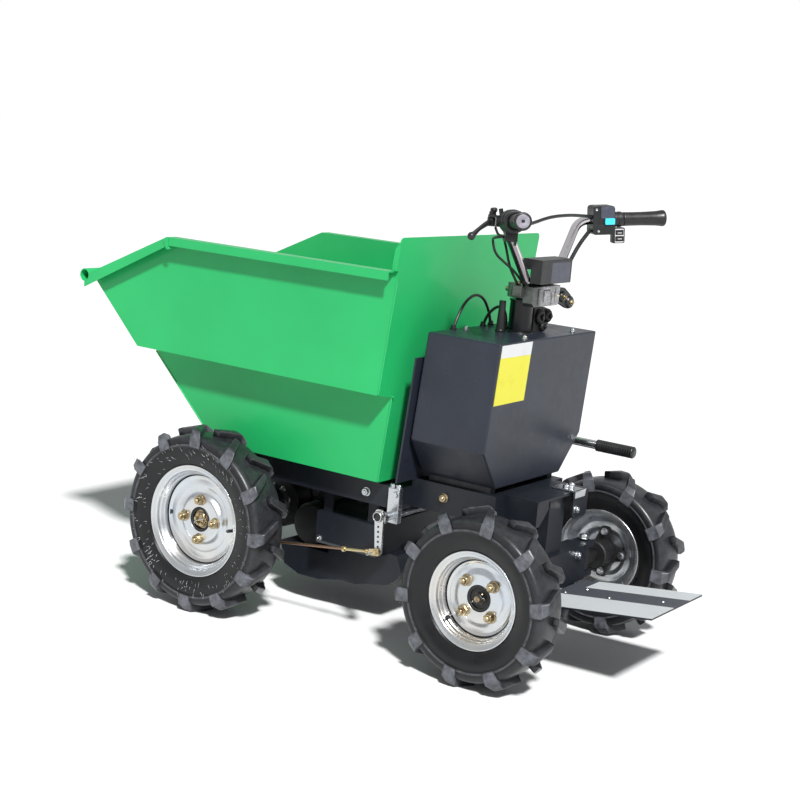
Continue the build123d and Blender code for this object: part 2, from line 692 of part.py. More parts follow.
def make_controls():
    """Throttle and switches on the right; horn, perch and lever on the left."""
    collar = on_bar([(107, BORE_R), (107, 19), (134, 19), (134, BORE_R)], -1)
    keep("throttle_housing", collar + bar_block(134, 56, -36, 36, 44, -1, 9))
    keep("rocker_switch", bar_block(102, 32, -58, -20, 18, -1))
    horn = on_bar([(107, BORE_R), (107, 24), (112, 27), (146, 27), (150, 24), (150, BORE_R)], 1)
    keep("horn_housing", horn + bar_block(116, 26, -44, -22, 28, 1))

    # The perch is a fork in front of the bar, and the lever's root fills it.
    middle = along_bar(169)
    inward = bar_plane(0, 1).z_dir
    ahead = Vector(-inward.Y, inward.X, 0).normalized()
    perch = on_bar([(152, BORE_R), (152, 15.5), (186, 15.5), (186, BORE_R)], 1)
    arm = turned([(12, 18), (46, 18)], 4, middle, ahead, turn=45, closed=False)
    corners = [middle + ahead * a + Vector(-ahead.Y, ahead.X, 0) * b for a, b in
               ((28, -30), (28, 30), (60, 30), (60, -30))]
    mouth = flat_prism([(c.X, c.Y) for c in corners], middle.Z - 10, middle.Z + 7)
    keep("brake_perch", perch + (arm - mouth))
    pivot = middle + ahead * 39
    root = turned([(-10, 9), (7, 9)], 12, pivot, (0, 0, 1), (1, 0, 0), closed=False)
    way = Vector(*LEVER_TIP) - pivot
    length = way.length
    blade = turned([(0, 6), (length - 14, 5), (length - 9, 9), (length + 4, 9)], 10, pivot, way, closed=False)
    keep("brake_lever", root + blade)


def make_steering():
    make_column()
    make_head()
    make_handlebar()
    make_controls()


def make_cables():
    """Cables that are held at both ends, each along its own route."""
    up, down = (0, 0, 1), (0, 0, -1)
    left = tuple(bar_plane(0, 1).z_dir)
    right = tuple(bar_plane(0, -1).z_dir)
    # Tube radius, directions at its two ends, route.
    on_the_bar = (
        # between the two housings
        (4, (left, tuple(-v for v in right)), [
            tuple(along_bar(150.2) + Vector(-15.5, -13.4, -2)), (60, 160, 1036), (68, 104, 1040), (66, 36, 1053),
            (62, -40, 1057), (64, -112, 1055), tuple(along_bar(191.5, -1) + Vector(-11, 10, 9))]),
        # from the switches to the cover
        (5, (right, (0, 1, 0)), [
            tuple(along_bar(190.2, -1) + Vector(-6, 5, -24)), (81, -150, 985), (80, -112, 948),
            (77, -88, 926), (75, -COVER_HALF, 922)]),
        # from the brake perch to the head
        (3, (down, down), [
            (92, 230, 1028), (98, 205, 1010), (118, 150, 1006), (131, 110, 978), (130, 88, 930),
            (118, 62, HEAD_Z[1])]),
        # from the horn's clamp, in a loose loop, to the head
        (3, ((0.755, 0.655, 0), down), [
            (55.3, 252, 1013), (84, 246, 1008), (112, 205, 1000), (112, 190, 968), (108, 150, 946),
            (112, 96, 925), (106, 52, HEAD_Z[1])]),
    )
    keep("handlebar_cables", group([cable(route, r, ends) for r, ends, route in on_the_bar]))
    on_the_box = (
        (3.5, (up, down), [
            (241, 131, BOX_TOP), (241, 119, 796), (241, 90, 834), (241, 48, 851), (241, 6, 840),
            (241, -25, 804), (241, -37, BOX_TOP)]),
        (3.5, (up, down), [
            (240, 0, BOX_TOP), (232, 0, 796), (214, 0, 818), (195, 0, 826), (179, 0, 812), (174, 0, BOX_TOP)]),
    )
    # A plain sleeve takes more of them down beside the column.
    sleeve = turned([(0, 11), (60, 8), (74, 8)], 12, (166, 42, BOX_TOP), up, (1, 0, 0), closed=False)
    keep("box_cables", group([cable(route, r, ends) for r, ends, route in on_the_box] + [sleeve]))


# ---------------------------------------------------------------- brake
def make_brake():
    x, z = CROSS_SHAFT
    # Shaft, arm and hand lever are welded into one piece.
    shaft = flat_rod((x, LEVER_Y, z), (x, BRAKE_Y + 8, z), 10)
    arm = side_prism([(x - 13, 326), (x + 13, 326), (x + 4, 232), (x - 14, 232)], BRAKE_Y, BRAKE_Y + 6)
    arm += turned([(0, 15), (6, 15)], 16, (x, BRAKE_Y, z + 8), closed=False)
    for hole in (282, 268, 254):
        arm -= turned([(-2, 3), (10, 3)], 8, (x - (z - hole) / 15, BRAKE_Y, hole), closed=False)
    socket = turned([(0, 6.5), (24, 6.5)], 12, (x, BRAKE_Y - 10, z), closed=False)
    lever = cable([(x, LEVER_Y, z), (205, LEVER_Y, LEVER_Z), (30, LEVER_Y, LEVER_Z)], 11, sides=12, bends=[50])
    keep("brake_shaft", shaft + arm + lever - socket)
    plates = []
    for s in (1, -1):
        plate = block(x - 22, x + 11, RAIL_OUT * s, (RAIL_OUT + 17) * s, 300, 386)
        plates.append(plate - flat_rod((x, (RAIL_OUT - 1) * s, z), (x, (RAIL_OUT + 18) * s, z), 10))
    keep("shaft_brackets", group(plates))
    a = Vector(x - 5, BRAKE_Y + 10, 238)
    b = Vector(WHEELBASE - 35, BRAKE_Y + 10, 177)
    pull = turned([(0, 3.5), ((b - a).length, 3.5)], 8, tuple(a), tuple(b - a), closed=False)
    keep("brake_rod", pull + turned([(0, 8), (14, 8)], 10, (a.X, BRAKE_Y + 6, a.Z), closed=False))
    keep("hand_lever_grip", turned([(0, 15), (100, 15), (103.5, 13)], 16, (30, LEVER_Y, LEVER_Z), (-1, 0, 0),
                                   closed=False))


# ---------------------------------------------------------------- footplate
def plate_z(x):
    """Height of the footplate's top at x."""
    return PLATE_Z + (x - PLATE_REAR) * PLATE_SLOPE


def make_footplate():
    """A tilted plate on two arms that are bolted under the axle beam."""
    top = [(PLATE_REAR, plate_z(PLATE_REAR)), (PLATE_FRONT, plate_z(PLATE_FRONT))]
    under = [(x, z - PLATE_THICK) for x, z in reversed(top)]
    keep("footplate", side_prism(top + under, -PLATE_HALF, PLATE_HALF))
    rear = -290
    outline = [
        (24, BEAM_FOOT), (-28, BEAM_FOOT), (-28, plate_z(-28) - PLATE_THICK),
        (rear, plate_z(rear) - PLATE_THICK), (rear, plate_z(rear) - PLATE_THICK - 8),
        (-40, 156), (24, 158),
    ]
    keep("footplate_arms", group([side_prism(outline, 78 * s, 100 * s) for s in (1, -1)]))


make_skip()
make_frame()
make_power()
make_box()
make_wheels()
make_axles()
make_steering()
make_cables()
make_brake()
make_footplate()

os.makedirs("parts", exist_ok=True)
for name, shape in NODES.items():
    export_step(Pos(-MIDDLE, 0, 0) * shape, f"parts/{name}.step")
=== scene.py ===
"""Looks of a small battery site dumper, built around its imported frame.

Sizes here are in millimetres. x = 0 is the rear axle, +X is forward, +Y is
the machine's left and z = 0 is the ground, as in the part's own source.
"""
import json
import math
from collections import namedtuple

import bmesh
import bpy
import numpy as np
from bpy.props import FloatProperty, FloatVectorProperty, IntProperty, PointerProperty
from mathutils import Matrix, Vector


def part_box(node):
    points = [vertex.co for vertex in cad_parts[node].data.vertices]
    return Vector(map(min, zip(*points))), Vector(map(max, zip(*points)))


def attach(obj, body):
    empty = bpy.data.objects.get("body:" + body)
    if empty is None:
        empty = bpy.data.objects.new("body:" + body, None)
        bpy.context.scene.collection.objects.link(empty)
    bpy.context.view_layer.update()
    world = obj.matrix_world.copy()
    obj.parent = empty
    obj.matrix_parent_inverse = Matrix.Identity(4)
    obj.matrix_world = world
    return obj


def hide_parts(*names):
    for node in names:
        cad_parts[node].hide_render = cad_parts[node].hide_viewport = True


bl_info = {
    "name": "Site dumper looks",
    "version": (1, 0, 0),
    "blender": (4, 5, 0),
    "location": "3D View > Sidebar > Dumper",
    "description": "Dresses the packed site dumper with its finishes and small parts",
    "category": "Object",
}

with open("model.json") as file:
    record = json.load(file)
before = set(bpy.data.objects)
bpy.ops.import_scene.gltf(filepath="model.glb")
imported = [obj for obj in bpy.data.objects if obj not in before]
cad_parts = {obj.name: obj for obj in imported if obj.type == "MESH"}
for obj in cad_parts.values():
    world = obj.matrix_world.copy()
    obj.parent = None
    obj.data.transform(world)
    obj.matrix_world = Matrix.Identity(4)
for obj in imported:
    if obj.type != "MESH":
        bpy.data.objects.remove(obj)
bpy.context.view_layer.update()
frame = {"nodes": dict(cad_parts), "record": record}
NODES = frame["nodes"]
RECORD = frame["record"]
PINS = {joint["name"]: joint["pos_m"] for joint in RECORD["behaviour"]["joints"]}
MM = 0.001
WELD = 2e-6                               # metres within which two points are one
FOLD = math.radians(32)                   # a bevel rounds edges that turn by more than this
REAR_AXLE = PINS["rear_left_spin"][0]     # the rear axle's x in the frame, in metres
UP, DOWN, AHEAD, BACK, LEFT = (0, 0, 1), (0, 0, -1), (1, 0, 0), (-1, 0, 0), (0, 1, 0)


def spot(name):
    """A joint's place in millimetres from the rear axle."""
    x, y, z = PINS[name]
    return np.array([(x - REAR_AXLE) / MM, y / MM, z / MM])


def edges(node):
    """A CAD node's lowest and highest corners in millimetres."""
    low, high = (np.array(corner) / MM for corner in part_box(node))
    shift = np.array([REAR_AXLE / MM, 0, 0])
    return low - shift, high - shift


def unit(way):
    """A direction one long."""
    return way / np.linalg.norm(way)


# ---------------- shapes
class Shape:
    """Points, and faces as runs of corners, with a tone a point and a finish a face."""

    def __init__(self, points, corners, counts, tones=None, coats=None):
        self.points = np.asarray(points, float).reshape(-1, 3)
        self.corners = np.asarray(corners, int)
        self.counts = np.asarray(counts, int)
        self.tones = np.zeros(len(self.points)) if tones is None else np.asarray(tones, float).ravel()
        self.coats = np.zeros(len(self.counts), int) if coats is None else coats

    def __add__(self, other):
        return Shape(*(np.concatenate(pair) for pair in (
            (self.points, other.points), (self.corners, other.corners + len(self.points)),
            (self.counts, other.counts), (self.tones, other.tones), (self.coats, other.coats))))

    def __radd__(self, nothing):
        """The 0 that sum() starts from adds nothing."""
        return self

    def moved(self, matrix):
        """Each point p becomes R p + t."""
        points = self.points @ matrix[:3, :3].T + matrix[:3, 3]
        return Shape(points, self.corners, self.counts, self.tones, self.coats)

    def put(self, centre, hand=1, degrees=0):
        """Turned about +Y and carried to a centre, with y mirrored first for hand -1."""
        return self.moved(spun(degrees, centre, hand)[0])

    def at(self, start, way=UP):
        """Its +Y laid along a way, and its origin put at a start."""
        return self.moved(aimed(start, way))

    def copies(self, matrices):
        """One copy for each matrix: point p of copy k is R_k p + t_k."""
        n = len(matrices)
        points = np.einsum("kij,pj->kpi", matrices[:, :3, :3], self.points) + matrices[:, None, :3, 3]
        steps = np.arange(n)[:, None] * len(self.points)
        return Shape(points, (self.corners[None] + steps).ravel(), np.tile(self.counts, n),
                     np.tile(self.tones, n), np.tile(self.coats, n))

    def coated(self, coat):
        """The same faces in another of the piece's finishes."""
        return Shape(self.points, self.corners, self.counts, self.tones, np.full(len(self.counts), coat))


def woven(points, round_u=False, round_v=False, caps=False, tones=None):
    """A grid of points (u, v) becomes quads between neighbours; caps close the end rows."""
    nu, nv = points.shape[:2]
    rows, columns = np.arange(nu if round_u else nu - 1), np.arange(nv if round_v else nv - 1)
    u, v = np.meshgrid(rows, columns, indexing="ij")
    u2, v2 = (u + 1) % nu, (v + 1) % nv
    corners = [np.stack([u * nv + v, u2 * nv + v, u2 * nv + v2, u * nv + v2], -1).ravel()]
    counts = [np.full(u.size, 4)]
    if caps:
        corners += [np.arange(nv)[::-1], (nu - 1) * nv + np.arange(nv)]
        counts.append(np.full(2, nv))
    return Shape(points, np.concatenate(corners), np.concatenate(counts), tones)


def rounded(points, cuts, closed=False, steps=5):
    """Each corner is cut back by its cut, never past half its runs, and the cut
    is bridged by the parabola (1-t)^2 a + 2 t (1-t) corner + t^2 b."""
    p = np.asarray(points, float)
    inner = p if closed else p[1:-1]
    before = np.roll(p, 1, 0) if closed else p[:-2]
    after = np.roll(p, -1, 0) if closed else p[2:]
    cuts = np.broadcast_to(np.asarray(cuts, float), (len(inner),))[:, None]

    def cut_back(other):
        run = other - inner
        length = np.linalg.norm(run, axis=1, keepdims=True)
        return inner + run * np.minimum(0.5, cuts / np.maximum(length, 1e-9))

    a, b = cut_back(before), cut_back(after)
    t = np.linspace(0, 1, steps)[None, :, None]
    bends = (1 - t) ** 2 * a[:, None] + 2 * t * (1 - t) * inner[:, None] + t ** 2 * b[:, None]
    bends = bends.reshape(-1, p.shape[1])
    return bends if closed else np.concatenate([p[:1], bends, p[-1:]])


def around(sides):
    """Angles round a full turn."""
    return np.arange(sides) * 2 * np.pi / sides


def turned(profile, sides=64, closed=False, tones=None):
    """A profile of (along, radius) turned about +Y: x = r sin t, y = along, z = r cos t."""
    profile = np.asarray(profile, float)
    t = around(sides)[:, None]
    along, radius = profile[None, :, 0], profile[None, :, 1]
    points = np.stack(np.broadcast_arrays(radius * np.sin(t), along, radius * np.cos(t)), -1)
    if tones is not None:
        tones = np.tile(np.asarray(tones, float), (sides, 1))
    return woven(points, round_u=True, round_v=closed, tones=tones)


def ring(section, cuts, sides=64):
    """A closed section of (along, radius), its corners cut back, turned about +Y."""
    return turned(rounded(section, cuts, closed=True), sides, closed=True)


def knob(profile, cuts, sides=32):
    """An open profile of (along, radius), its corners cut back, turned about +Y."""
    return turned(rounded(profile, cuts), sides)


def aimed(start, way):
    """The matrix that takes +Y to a direction and the origin to a start."""
    y = unit(np.asarray(way, float))
    x = np.cross(y, np.asarray(UP, float))
    if np.linalg.norm(x) < 1e-6:
        x = np.cross(y, (1.0, 0.0, 0.0))
    x = unit(x)
    matrix = np.eye(4)
    matrix[:3, :3] = np.stack([x, y, np.cross(x, y)], 1)
    matrix[:3, 3] = start
    return matrix


def spun(degrees, centre=(0, 0, 0), flip=1):
    """Turns about +Y by each of some degrees, then moved; flip -1 mirrors y first."""
    a = np.radians(np.atleast_1d(np.asarray(degrees, float)))
    matrices = np.tile(np.eye(4), (len(a), 1, 1))
    matrices[:, 0, 0] = matrices[:, 2, 2] = np.cos(a)
    matrices[:, 0, 2], matrices[:, 2, 0] = np.sin(a), -np.sin(a)
    matrices[:, 1, 1] = flip
    matrices[:, :3, 3] = centre
    return matrices


def piped(path, radius, sides=14, hint=AHEAD):
    """A circle carried along a path: centre + r (cos t side + sin t over), where
    side is tangent x hint and over is tangent x side."""
    path = np.asarray(path, float)
    way = np.gradient(path, axis=0)
    way /= np.linalg.norm(way, axis=1, keepdims=True)
    side = np.cross(way, np.asarray(hint, float))
    side /= np.linalg.norm(side, axis=1, keepdims=True)
    over = np.cross(way, side)
    t = around(sides)[None, :, None]
    radius = np.broadcast_to(np.asarray(radius, float), (len(path),))[:, None, None]
    circle = np.cos(t) * side[:, None] + np.sin(t) * over[:, None]
    return woven(path[:, None] + radius * circle, round_v=True, caps=True)


def hung(points):
    """The smooth line of a held cable: every corner cut back by half its runs."""
    return rounded(points, 1e6, steps=9)


def lifted(outline, levels, lay):
    """An outline of (a, b) between two levels, where lay(a, b, level) gives x, y and z."""
    a, b = np.asarray(outline, float).T
    rows = [np.stack(np.broadcast_arrays(*lay(a, b, level)), -1) for level in levels]
    return woven(np.stack(rows), round_v=True, caps=True)


def prism(outline, low, high, axis="y"):
    """An outline in the plane across an axis, carried from low to high along it."""
    order = {"x": (2, 0, 1), "y": (0, 2, 1), "z": (0, 1, 2)}[axis]
    return lifted(outline, (low, high), lambda *columns: [columns[i] for i in order])


def plate(outline, cuts, low, high, axis="y", steps=5):
    """A prism whose outline has its corners cut back."""
    return prism(rounded(outline, cuts, closed=True, steps=steps), low, high, axis)


def slab(a, b):
    """A block between two opposite corners, for a bevel to round."""
    (x0, y0, z0), (x1, y1, z1) = np.minimum(a, b), np.maximum(a, b)
    return prism([(x0, y0), (x1, y0), (x1, y1), (x0, y1)], z0, z1, "z")


def pad(half_a, half_b, corner, middle=(0, 0), count=6):
    """A rectangle's outline with quarter-round corners, about its middle."""
    t = np.linspace(0, np.pi / 2, count)
    quarter = np.stack([np.cos(t), np.sin(t)], -1) * corner
    arcs = []
    for k, (a, b) in enumerate(((1, 1), (-1, 1), (-1, -1), (1, -1))):
        arc = quarter if k % 2 == 0 else quarter[::-1]
        arcs.append(arc * (a, b) + np.array([(half_a - corner) * a, (half_b - corner) * b]))
    return np.concatenate(arcs) + middle


def hexagon(across, degrees):
    """A hexagon's radius at an angle: its apothem over cos((t + 30) mod 60 - 30)."""
    return across / 2 / np.cos(np.radians((degrees + 30) % 60 - 30))


def lofted(rows, degrees, round_v=False):
    """Rows of (y, radius at each angle) turned about +Y."""
    a = np.radians(degrees)
    points = [np.stack([r * np.sin(a), y + 0 * a, r * np.cos(a)], -1) for y, r in rows]
    return woven(np.stack(points, 1), round_u=True, round_v=round_v)


def fastener(across, height, washer=0.0, stud=0.0, reach=0.0, sides=36):
    """A hexagon head or nut along +Y, drawn in to a circle at its top, on a washer
    of a radius and with a stud's end of a radius standing out of it."""
    t = np.arange(sides) * 360.0 / sides
    apothem = across / 2
    flat = hexagon(across, t)
    rows = [(0, 0)]
    base = 0
    if washer:
        rows += [(0, washer), (1.6, washer), (1.8, washer - 0.6)]
        base = 1.8
    top = base + height
    rows += [(base, flat), (top - 0.16 * apothem, flat), (top, np.minimum(flat, apothem * 0.99))]
    if stud:
        rows += [(top, stud * 1.12), (top - 0.6, stud), (top + reach - 1, stud), (top + reach, stud - 1),
                 (top + reach, 0)]
    else:
        rows.append((top + 0.3, 0))
    return lofted(rows, t)


def make(name, body, shape, coats, stands_for=None, bevel=0.0, segments=3, sharp=38.0):
    """A mesh object at the origin from a shape, riding on a body. Its finishes are
    named in one string, one for each of its slots in turn."""
    mesh = bpy.data.meshes.new(name)
    points = shape.points * MM + np.array([REAR_AXLE, 0, 0])
    mesh.vertices.add(len(points))
    mesh.vertices.foreach_set("co", points.ravel())
    mesh.loops.add(len(shape.corners))
    mesh.loops.foreach_set("vertex_index", shape.corners.astype(np.int32))
    mesh.polygons.add(len(shape.counts))
    starts = np.concatenate([[0], np.cumsum(shape.counts)[:-1]]).astype(np.int32)
    mesh.polygons.foreach_set("loop_start", starts)
    mesh.polygons.foreach_set("material_index", shape.coats.astype(np.int32))
    mesh.attributes.new("tone", "FLOAT", "POINT").data.foreach_set("value", shape.tones)
    mesh.update(calc_edges=True)
    work = bmesh.new()
    work.from_mesh(mesh)
    bmesh.ops.remove_doubles(work, verts=work.verts, dist=WELD)
    bmesh.ops.dissolve_degenerate(work, edges=work.edges, dist=WELD / 2)
    bmesh.ops.recalc_face_normals(work, faces=work.faces)
    work.to_mesh(mesh)
    work.free()
    mesh.polygons.foreach_set("use_smooth", np.ones(len(mesh.polygons), bool))
    mesh.set_sharp_from_angle(angle=math.radians(sharp))
    piece = bpy.data.objects.new(name, mesh)
    bpy.context.scene.collection.objects.link(piece)
    for coat in coats.split():
        mesh.materials.append(COATS[coat])
    if bevel:
        edge = piece.modifiers.new("edges", "BEVEL")
        edge.width = bevel * MM
        edge.segments = segments
        edge.limit_method = "ANGLE"
        edge.angle_limit = FOLD
        edge.harden_normals = True
    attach(piece, body)
    if stands_for:
        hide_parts(stands_for)


# ---------------- finishes
def maths(operation, reflected=False):
    """An operator on a Tone, as a Math node."""
    def act(self, other):
        a, b = (other, self) if reflected else (self, other)
        return self.nodes.node("ShaderNodeMath", {"operation": operation}, {0: a, 1: b})
    return act


class Tone:
    """A socket of a node, so that sums on it are written as plain expressions."""

    __add__, __radd__ = maths("ADD"), maths("ADD", True)
    __sub__, __rsub__ = maths("SUBTRACT"), maths("SUBTRACT", True)
    __mul__, __rmul__ = maths("MULTIPLY"), maths("MULTIPLY", True)

    def __init__(self, nodes, socket):
        self.nodes, self.socket = nodes, socket

    def above(self, edge, soft=0.05):
        """0 below an edge and 1 above it, with a soft step between."""
        return self.nodes.node("ShaderNodeMapRange", {"interpolation_type": "SMOOTHSTEP"},
                               {"Value": self, "From Min": edge - soft, "From Max": edge + soft})

    def carried(self, low, high, to_low=0, to_high=1):
        """The value carried from one range to another, held at its ends."""
        links = {"Value": self, "From Min": low, "From Max": high, "To Min": to_low, "To Max": to_high}
        return self.nodes.node("ShaderNodeMapRange", {}, links)


class Nodes:
    """A node tree that gives a new node's output as a Tone."""

    def __init__(self, tree):
        self.tree = tree

    def node(self, kind, settings=None, links=None, output=0):
        """A node of a type, with its settings first and then its sockets."""
        node = self.tree.nodes.new(kind)
        for key, value in (settings or {}).items():
            if key == "stops":
                ramp = node.color_ramp
                for k, (at, tint) in enumerate(value):
                    stop = ramp.elements[k] if k < 2 else ramp.elements.new(at)
                    stop.position = at
                    stop.color = (*tint, 1)
            else:
                setattr(node, key, value)
        for key, value in (links or {}).items():
            self.feed(node.inputs[key], value)
        return Tone(self, node.outputs[output] if node.outputs else None)

    def feed(self, socket, value):
        """A Tone is linked to the socket, and a plain value set on it."""
        if isinstance(value, Tone):
            self.tree.links.new(value.socket, socket)
        else:
            socket.default_value = value


class Finish(Nodes):
    """A material under construction around one Principled shader."""

    def __init__(self, name, **plain):
        self.material = bpy.data.materials.new(name)
        self.material.use_nodes = True
        super().__init__(self.material.node_tree)
        self.shader = self.tree.nodes["Principled BSDF"]
        self.dress(**plain)
        self.place = self.node("ShaderNodeTexCoord", output="Object")

    def stretched(self, scale):
        """Object coordinates, stretched by a Mapping node."""
        return self.node("ShaderNodeMapping", {}, {"Vector": self.place, "Scale": scale})

    def noise(self, scale, detail=3.0, rough=0.5, at=None):
        links = {"Vector": at or self.place, "Scale": scale, "Detail": detail, "Roughness": rough}
        return self.node("ShaderNodeTexNoise", {}, links)

    def cells(self, scale, output="Distance"):
        return self.node("ShaderNodeTexVoronoi", {}, {"Vector": self.place, "Scale": scale}, output)

    def axis(self, vector, name):
        """One axis of a vector."""
        return self.node("ShaderNodeSeparateXYZ", {}, {"Vector": vector}, name)

    def ramp(self, value, *stops):
        return self.node("ShaderNodeValToRGB", {"stops": stops}, {"Fac": value})

    def mix(self, a, b, share):
        """Two colours mixed by a share."""
        a, b = (c if isinstance(c, Tone) else (*tuple(c)[:3], 1.0) for c in (a, b))
        return self.node("ShaderNodeMix", {"data_type": "RGBA"}, {0: share, 6: a, 7: b}, 2)

    def shades(self, colour, low, high, share):
        """A colour between two of its own shades."""
        return self.mix(shade(colour, low), shade(colour, high), share)

    def mark(self):
        """The tone that a shape gives its points."""
        return self.node("ShaderNodeAttribute", {"attribute_name": "tone"}, {}, "Fac")

    def dress(self, tone=None, dull=None, bumps=None, **sockets):
        """Feeds the shader's sockets, and gives the material. Dullness is a pattern and
        the roughness where it is low and high; bumps are their height, strength and
        depth in metres."""
        if tone:
            sockets["Base_Color"] = tone
        if dull:
            pattern, low, high = dull
            sockets["Roughness"] = pattern.carried(0.3, 0.7, low, high)
        if bumps:
            bumps = dict(zip(("Height", "Strength", "Distance"), bumps))
            sockets["Normal"] = self.node("ShaderNodeBump", {}, bumps)
        for socket, value in sockets.items():
            self.feed(self.shader.inputs[socket.replace("_", " ")], value)
        return self.material


def shade(colour, factor):
    """A colour made lighter or darker."""
    return tuple(min(1.0, c * factor) for c in tuple(colour)[:3])


def gloss_paint(name, colour, coat):
    """Sprayed gloss over sheet steel: faint clouds, orange peel and a few dull patches."""
    f = Finish(name, Coat_Roughness=0.12, Specular_IOR_Level=0.3, Coat_Weight=coat)
    dull = f.noise(14.0, 5.0, 0.6)
    tone = f.shades(colour, 0.93, 1.06, f.noise(3.2, 4.0).carried(0.35, 0.65))
    return f.dress(tone, dull=(dull, 0.3, 0.42),
                   bumps=(f.noise(420.0, 2.0) + f.noise(35.0, 2.0) * 1.5, 0.06, 0.0006))


def powder_coat(name, colour, rough):
    """Fine-grained powder coat with dust in its hollows and rubbed lighter spots."""
    f = Finish(name, Specular_IOR_Level=0.36)
    dust = f.noise(38.0, 6.0, 0.7)
    tone = f.shades(colour, 0.85, 1.18, f.noise(6.0, 5.0, 0.6).carried(0.35, 0.65))
    tone = f.mix(tone, shade(colour, 2.0), dust.above(0.66, 0.12) * 0.35)
    return f.dress(tone, dull=(dust, rough - 0.06, rough + 0.1), bumps=(f.noise(900.0, 2.0), 0.12, 0.0004))


def zinc_plate(name, colour, rough=0.26, stain=0.35):
    """Bright zinc: crystal-like patches, fine scratches and a faint rainbow stain,
    and painted shade, nearly black, where a piece's tone says so."""
    f = Finish(name, Metallic=1.0)
    patch = f.node("ShaderNodeSeparateColor", {}, {"Color": f.cells(26.0, "Color")})
    scratch = f.noise(90.0, 4.0, 0.6, f.stretched((1, 1, 7)))
    tone = f.shades(colour, 0.9, 1.05, patch * 0.3 + scratch * 0.7)
    tint = f.ramp(f.noise(11.0), (0.3, (0.4, 0.49, 0.62)), (0.7, (0.6, 0.52, 0.42)),
                  (0.5, (0.52, 0.54, 0.56)))
    tone = f.mix(tone, tint, stain * 0.7)
    # Painted shade: nearly black where the piece's tone marks a groove or crease.
    tone = f.mix(tone, (0.02, 0.02, 0.024), f.mark() * 0.94)
    worn = scratch + patch * 0.2
    return f.dress(tone, Roughness=worn.carried(0.3, 0.9, rough - 0.04, rough + 0.08),
                   bumps=(scratch, 0.01, 0.0002))


def chrome(name):
    """Polished bar with faint haze and dust specks, and a painted reflection in its colour:
    bright along its top and just below it, and dark along its flanks."""
    f = Finish(name, Metallic=1.0)
    haze = f.noise(24.0, 4.0)
    # Painted reflection: the base colour runs through bright and dark bands by how far the surface faces up.
    facing = f.node("ShaderNodeNewGeometry", output="Normal")
    lift = f.axis(facing, "Z").carried(-1, 1)
    tone = f.ramp(lift + haze * 0.06, (0.08, (0.42, 0.39, 0.4)), (0.98, (0.9, 0.89, 0.9)),
                  (0.4, (0.3, 0.27, 0.28)), (0.54, (0.95, 0.93, 0.95)), (0.76, (0.6, 0.57, 0.6)))
    specks = f.noise(300.0) * 0.5 + haze * 0.5
    return f.dress(tone, Roughness=specks.carried(0.35, 0.65, 0.05, 0.16))


def rubber(name, colour, worn, rough):
    """Tyre rubber: mottled, and paler where a piece's tone asks: for scuffs and dust, and on the tyre's
    shoulders also for a painted sheen.
    """
    f = Finish(name, Specular_IOR_Level=0.38)
    mottle = f.noise(28.0, 6.0, 0.65)
    # The tone asks for scuffs and dust, and on the tyre's shoulders for a painted sheen as well.
    scuff_and_sheen = f.mark() * f.noise(60.0, 5.0, 0.7).carried(0.3, 0.62, 0.25)
    tone = f.shades(colour, 0.75, 1.25, mottle.carried(0.3, 0.7))
    pale = [c * worn * 1.6 for c in colour]
    tone = f.mix(tone, (pale[0], pale[1], pale[2] * 0.98), scuff_and_sheen)
    dull = mottle.carried(0.3, 0.7, rough - 0.06, rough + 0.1) + scuff_and_sheen * 0.08
    return f.dress(tone, Roughness=dull, bumps=(f.noise(380.0) + f.noise(120.0), 0.16, 0.0006))


def black_iron(name, colour):
    """Painted casting with a sandy skin."""
    f = Finish(name)
    sand = f.noise(260.0, 4.0, 0.6)
    tone = f.shades(colour, 0.7, 1.5, f.noise(16.0, 4.0).carried(0.3, 0.7))
    return f.dress(tone, dull=(sand, 0.4, 0.6), bumps=(sand, 0.35, 0.0008))


def cast_alloy(name):
    """Grey die casting: coarse bright and dark speckle with grease in its hollows,
    and a dark, faintly green painted shade and reflection on its left flank."""
    f = Finish(name, Roughness=0.36)
    speckle = f.noise(150.0, 5.0, 0.75)
    tone = f.ramp(speckle, (0.34, (0.2, 0.2, 0.2)), (0.66, (0.58, 0.58, 0.6)), (0.5, (0.4, 0.4, 0.41)))
    tone = f.mix(tone, (0.03, 0.028, 0.025), f.noise(32.0, 5.0, 0.7).above(0.58, 0.08) * 0.85)
    # Painted shade and reflection: a dark greenish colour over the casting's left (+Y) side.
    tone = f.mix(tone, (0.05, 0.06, 0.05), f.axis(f.place, "Y").above(0.022, 0.02) * 0.8)
    return f.dress(tone, Metallic=speckle.carried(0.3, 0.6, 0.5, 0.9), bumps=(speckle, 0.25, 0.0012))


def moulded(name, colour, rough, grain=500.0):
    """Moulded plastic with a fine etched grain and a little dust."""
    f = Finish(name)
    dust = f.noise(44.0, 5.0, 0.65)
    tone = f.shades(colour, 0.8, 1.5, dust.above(0.6, 0.2) * 0.7)
    return f.dress(tone, dull=(dust, rough - 0.08, rough + 0.1), bumps=(f.cells(grain), 0.12, 0.0004))


def sticker(name, colour):
    """A smooth printed film with faint soiling."""
    f = Finish(name)
    soil = f.noise(30.0, 5.0, 0.6)
    tone = f.mix(colour, shade(colour, 0.86), soil.above(0.62, 0.12) * 0.5)
    return f.dress(tone, dull=(soil, 0.3, 0.42), bumps=(f.noise(90.0), 0.05, 0.0004))


def greased_brass(name):
    """Yellow-plated nuts, smeared with old grease."""
    f = Finish(name, Metallic=1.0)
    smear = f.noise(70.0, 4.0, 0.65)
    tone = f.ramp(smear, (0.32, (0.17, 0.125, 0.075)), (0.68, (0.58, 0.5, 0.35)), (0.5, (0.44, 0.36, 0.22)))
    return f.dress(tone, dull=(smear, 0.22, 0.46), bumps=(smear, 0.1, 0.0005))


